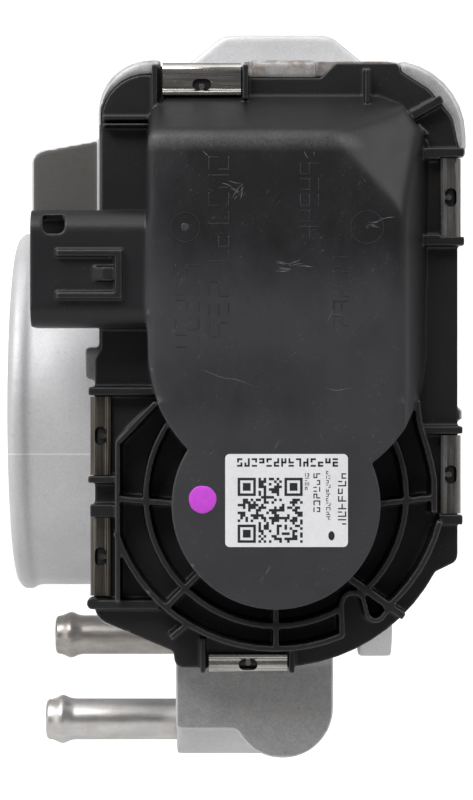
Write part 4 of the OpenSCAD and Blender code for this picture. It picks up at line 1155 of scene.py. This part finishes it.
@dataclass
class Insides:
    """Finishes of the pieces behind the cover and in the bore."""

    finishes: Dict[str, Finish] = field(
        default_factory=lambda: {
            "bright_steel": STEEL,
            "dark_steel": DARK_STEEL,
            "pipe_steel": PIPE,
            "spring_steel": GREY_CLIP,
            "brass": BRASS,
            "copper": COPPER,
            "white_nylon": NYLON,
            "black_rubber": RUBBER,
            "ferrite": FERRITE,
            "circuit_board": BOARD,
            "black_moulding": BLACK_MOULDING,
        }
    )
    cap_rounding: float = 0.5

    def build(self) -> None:
        """Gives every CAD node that is still plain the finish of its material slot."""
        slots = {s["node"]: s["material_slot"] for s in frame["record"]["subparts"]}
        for name, node in frame["nodes"].items():
            if name.startswith("cover_clip") or name in ("label", "return_spring"):
                continue
            finish = self.finishes.get(slots[name])
            if name == "motor_rear_cap":
                ease_edges(node, self.cap_rounding)
                finish = CAST
            if finish is not None:
                dress(node, finish)
                log.info("%s: %s", name, finish.name)


@dataclass
class Set:
    """Floor, backdrop, lights and camera."""

    camera_at: Point = (-29.3, -570.0, 2.2)
    lens: float = 128.25
    floor_z: float = -120.0

    def build(self) -> None:
        """Builds the whole set."""
        floor = self.sheet("floor", [(-3, -0.35), (3, -0.35), (3, 4), (-3, 4)], True)
        backdrop = self.sheet("backdrop", [(-3, -0.12), (3, -0.12), (3, 3), (-3, 3)], False)
        self.world()
        self.light("top_box", (-0.05, -0.35, 0.95), (0.9, 0.7), 2.6)
        self.light("front_box", (-0.50, -0.74, 0.72), (0.8, 0.35), 8.0)
        self.light("left_box", (-0.95, -0.45, 0.20), (0.5, 0.7), 1.2)
        self.light("right_box", (0.72, -0.46, 0.66), (0.35, 0.35), 2.0)
        camera = bpy.data.objects.new("camera", bpy.data.cameras.new("camera"))
        bpy.context.scene.collection.objects.link(camera)
        camera.location = Vector(self.camera_at) * MM
        camera.rotation_euler = (math.radians(90), 0.0, 0.0)
        camera.data.lens = self.lens
        camera.data.sensor_width = 36.0
        camera.data.clip_start = 0.01
        camera.data.clip_end = 20.0
        camera.data.dof.use_dof = False
        bpy.context.scene.camera = camera

    def sheet(self, name: str, corners: Sequence[Flat], level: bool) -> bpy.types.Object:
        """Makes one flat sheet of studio paper, level or upright."""
        points = [(a, b, self.floor_z * MM) if level else (a, 4.0, b) for a, b in corners]
        obj = mesh_of(name, points, [(0, 1, 2, 3)], False)
        dress(obj, PAPER)
        return obj

    def world(self) -> None:
        """Makes the room's light: bright above and at the sides, dim behind the camera."""
        world = bpy.data.worlds.new("room")
        world.use_nodes = True
        bpy.context.scene.world = world
        graph = Graph(world.node_tree)
        way = graph.node("ShaderNodeTexCoord", out="Generated")
        _, y, z = graph.parts(way)
        behind = y.ease(-0.35, -0.95)
        colour = graph.mix(z.ease(-0.3, 0.9), (0.40, 0.40, 0.40), (0.60, 0.60, 0.60))
        colour = graph.mix(behind, colour, (0.13, 0.13, 0.13))
        shader = graph.node("ShaderNodeBackground", inputs={"Color": colour, "Strength": 0.8})
        graph.node_output("ShaderNodeOutputWorld", shader)

    def light(self, name: str, at: Point, size: Flat, power: float) -> None:
        """Adds a soft rectangular light that faces the object.

        Args:
            name: The light's name.
            at: Its place in metres.
            size: Its width and height in metres.
            power: Its power in watts.
        """
        data = bpy.data.lights.new(name, "AREA")
        data.shape = "RECTANGLE"
        data.size, data.size_y = size
        data.energy = power
        obj = bpy.data.objects.new(name, data)
        bpy.context.scene.collection.objects.link(obj)
        obj.location = at
        aim = Vector((-0.02, -0.02, 0.0)) - Vector(at)
        obj.rotation_euler = aim.to_track_quat("-Z", "Y").to_euler()


def corners(pair: Tuple[Vector, Vector]) -> List[List[float]]:
    """Returns two corners as plain lists."""
    return [list(p) for p in pair]


def main() -> None:
    logging.basicConfig(level=logging.INFO, format="%(name)s %(message)s")
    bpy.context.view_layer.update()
    bpy.context.scene.view_settings.view_transform = "Standard"
    Housing().build()
    HosePipe("coolant_pipe_upper", AGED_PIPE).build()
    HosePipe("coolant_pipe_lower", PIPE).build()
    GearCover().build()
    Clips().build()
    Label().build()
    Relief().build()
    ReturnCoil().build()
    Insides().build()
    Set().build()


if __name__ == "__main__":
    main()
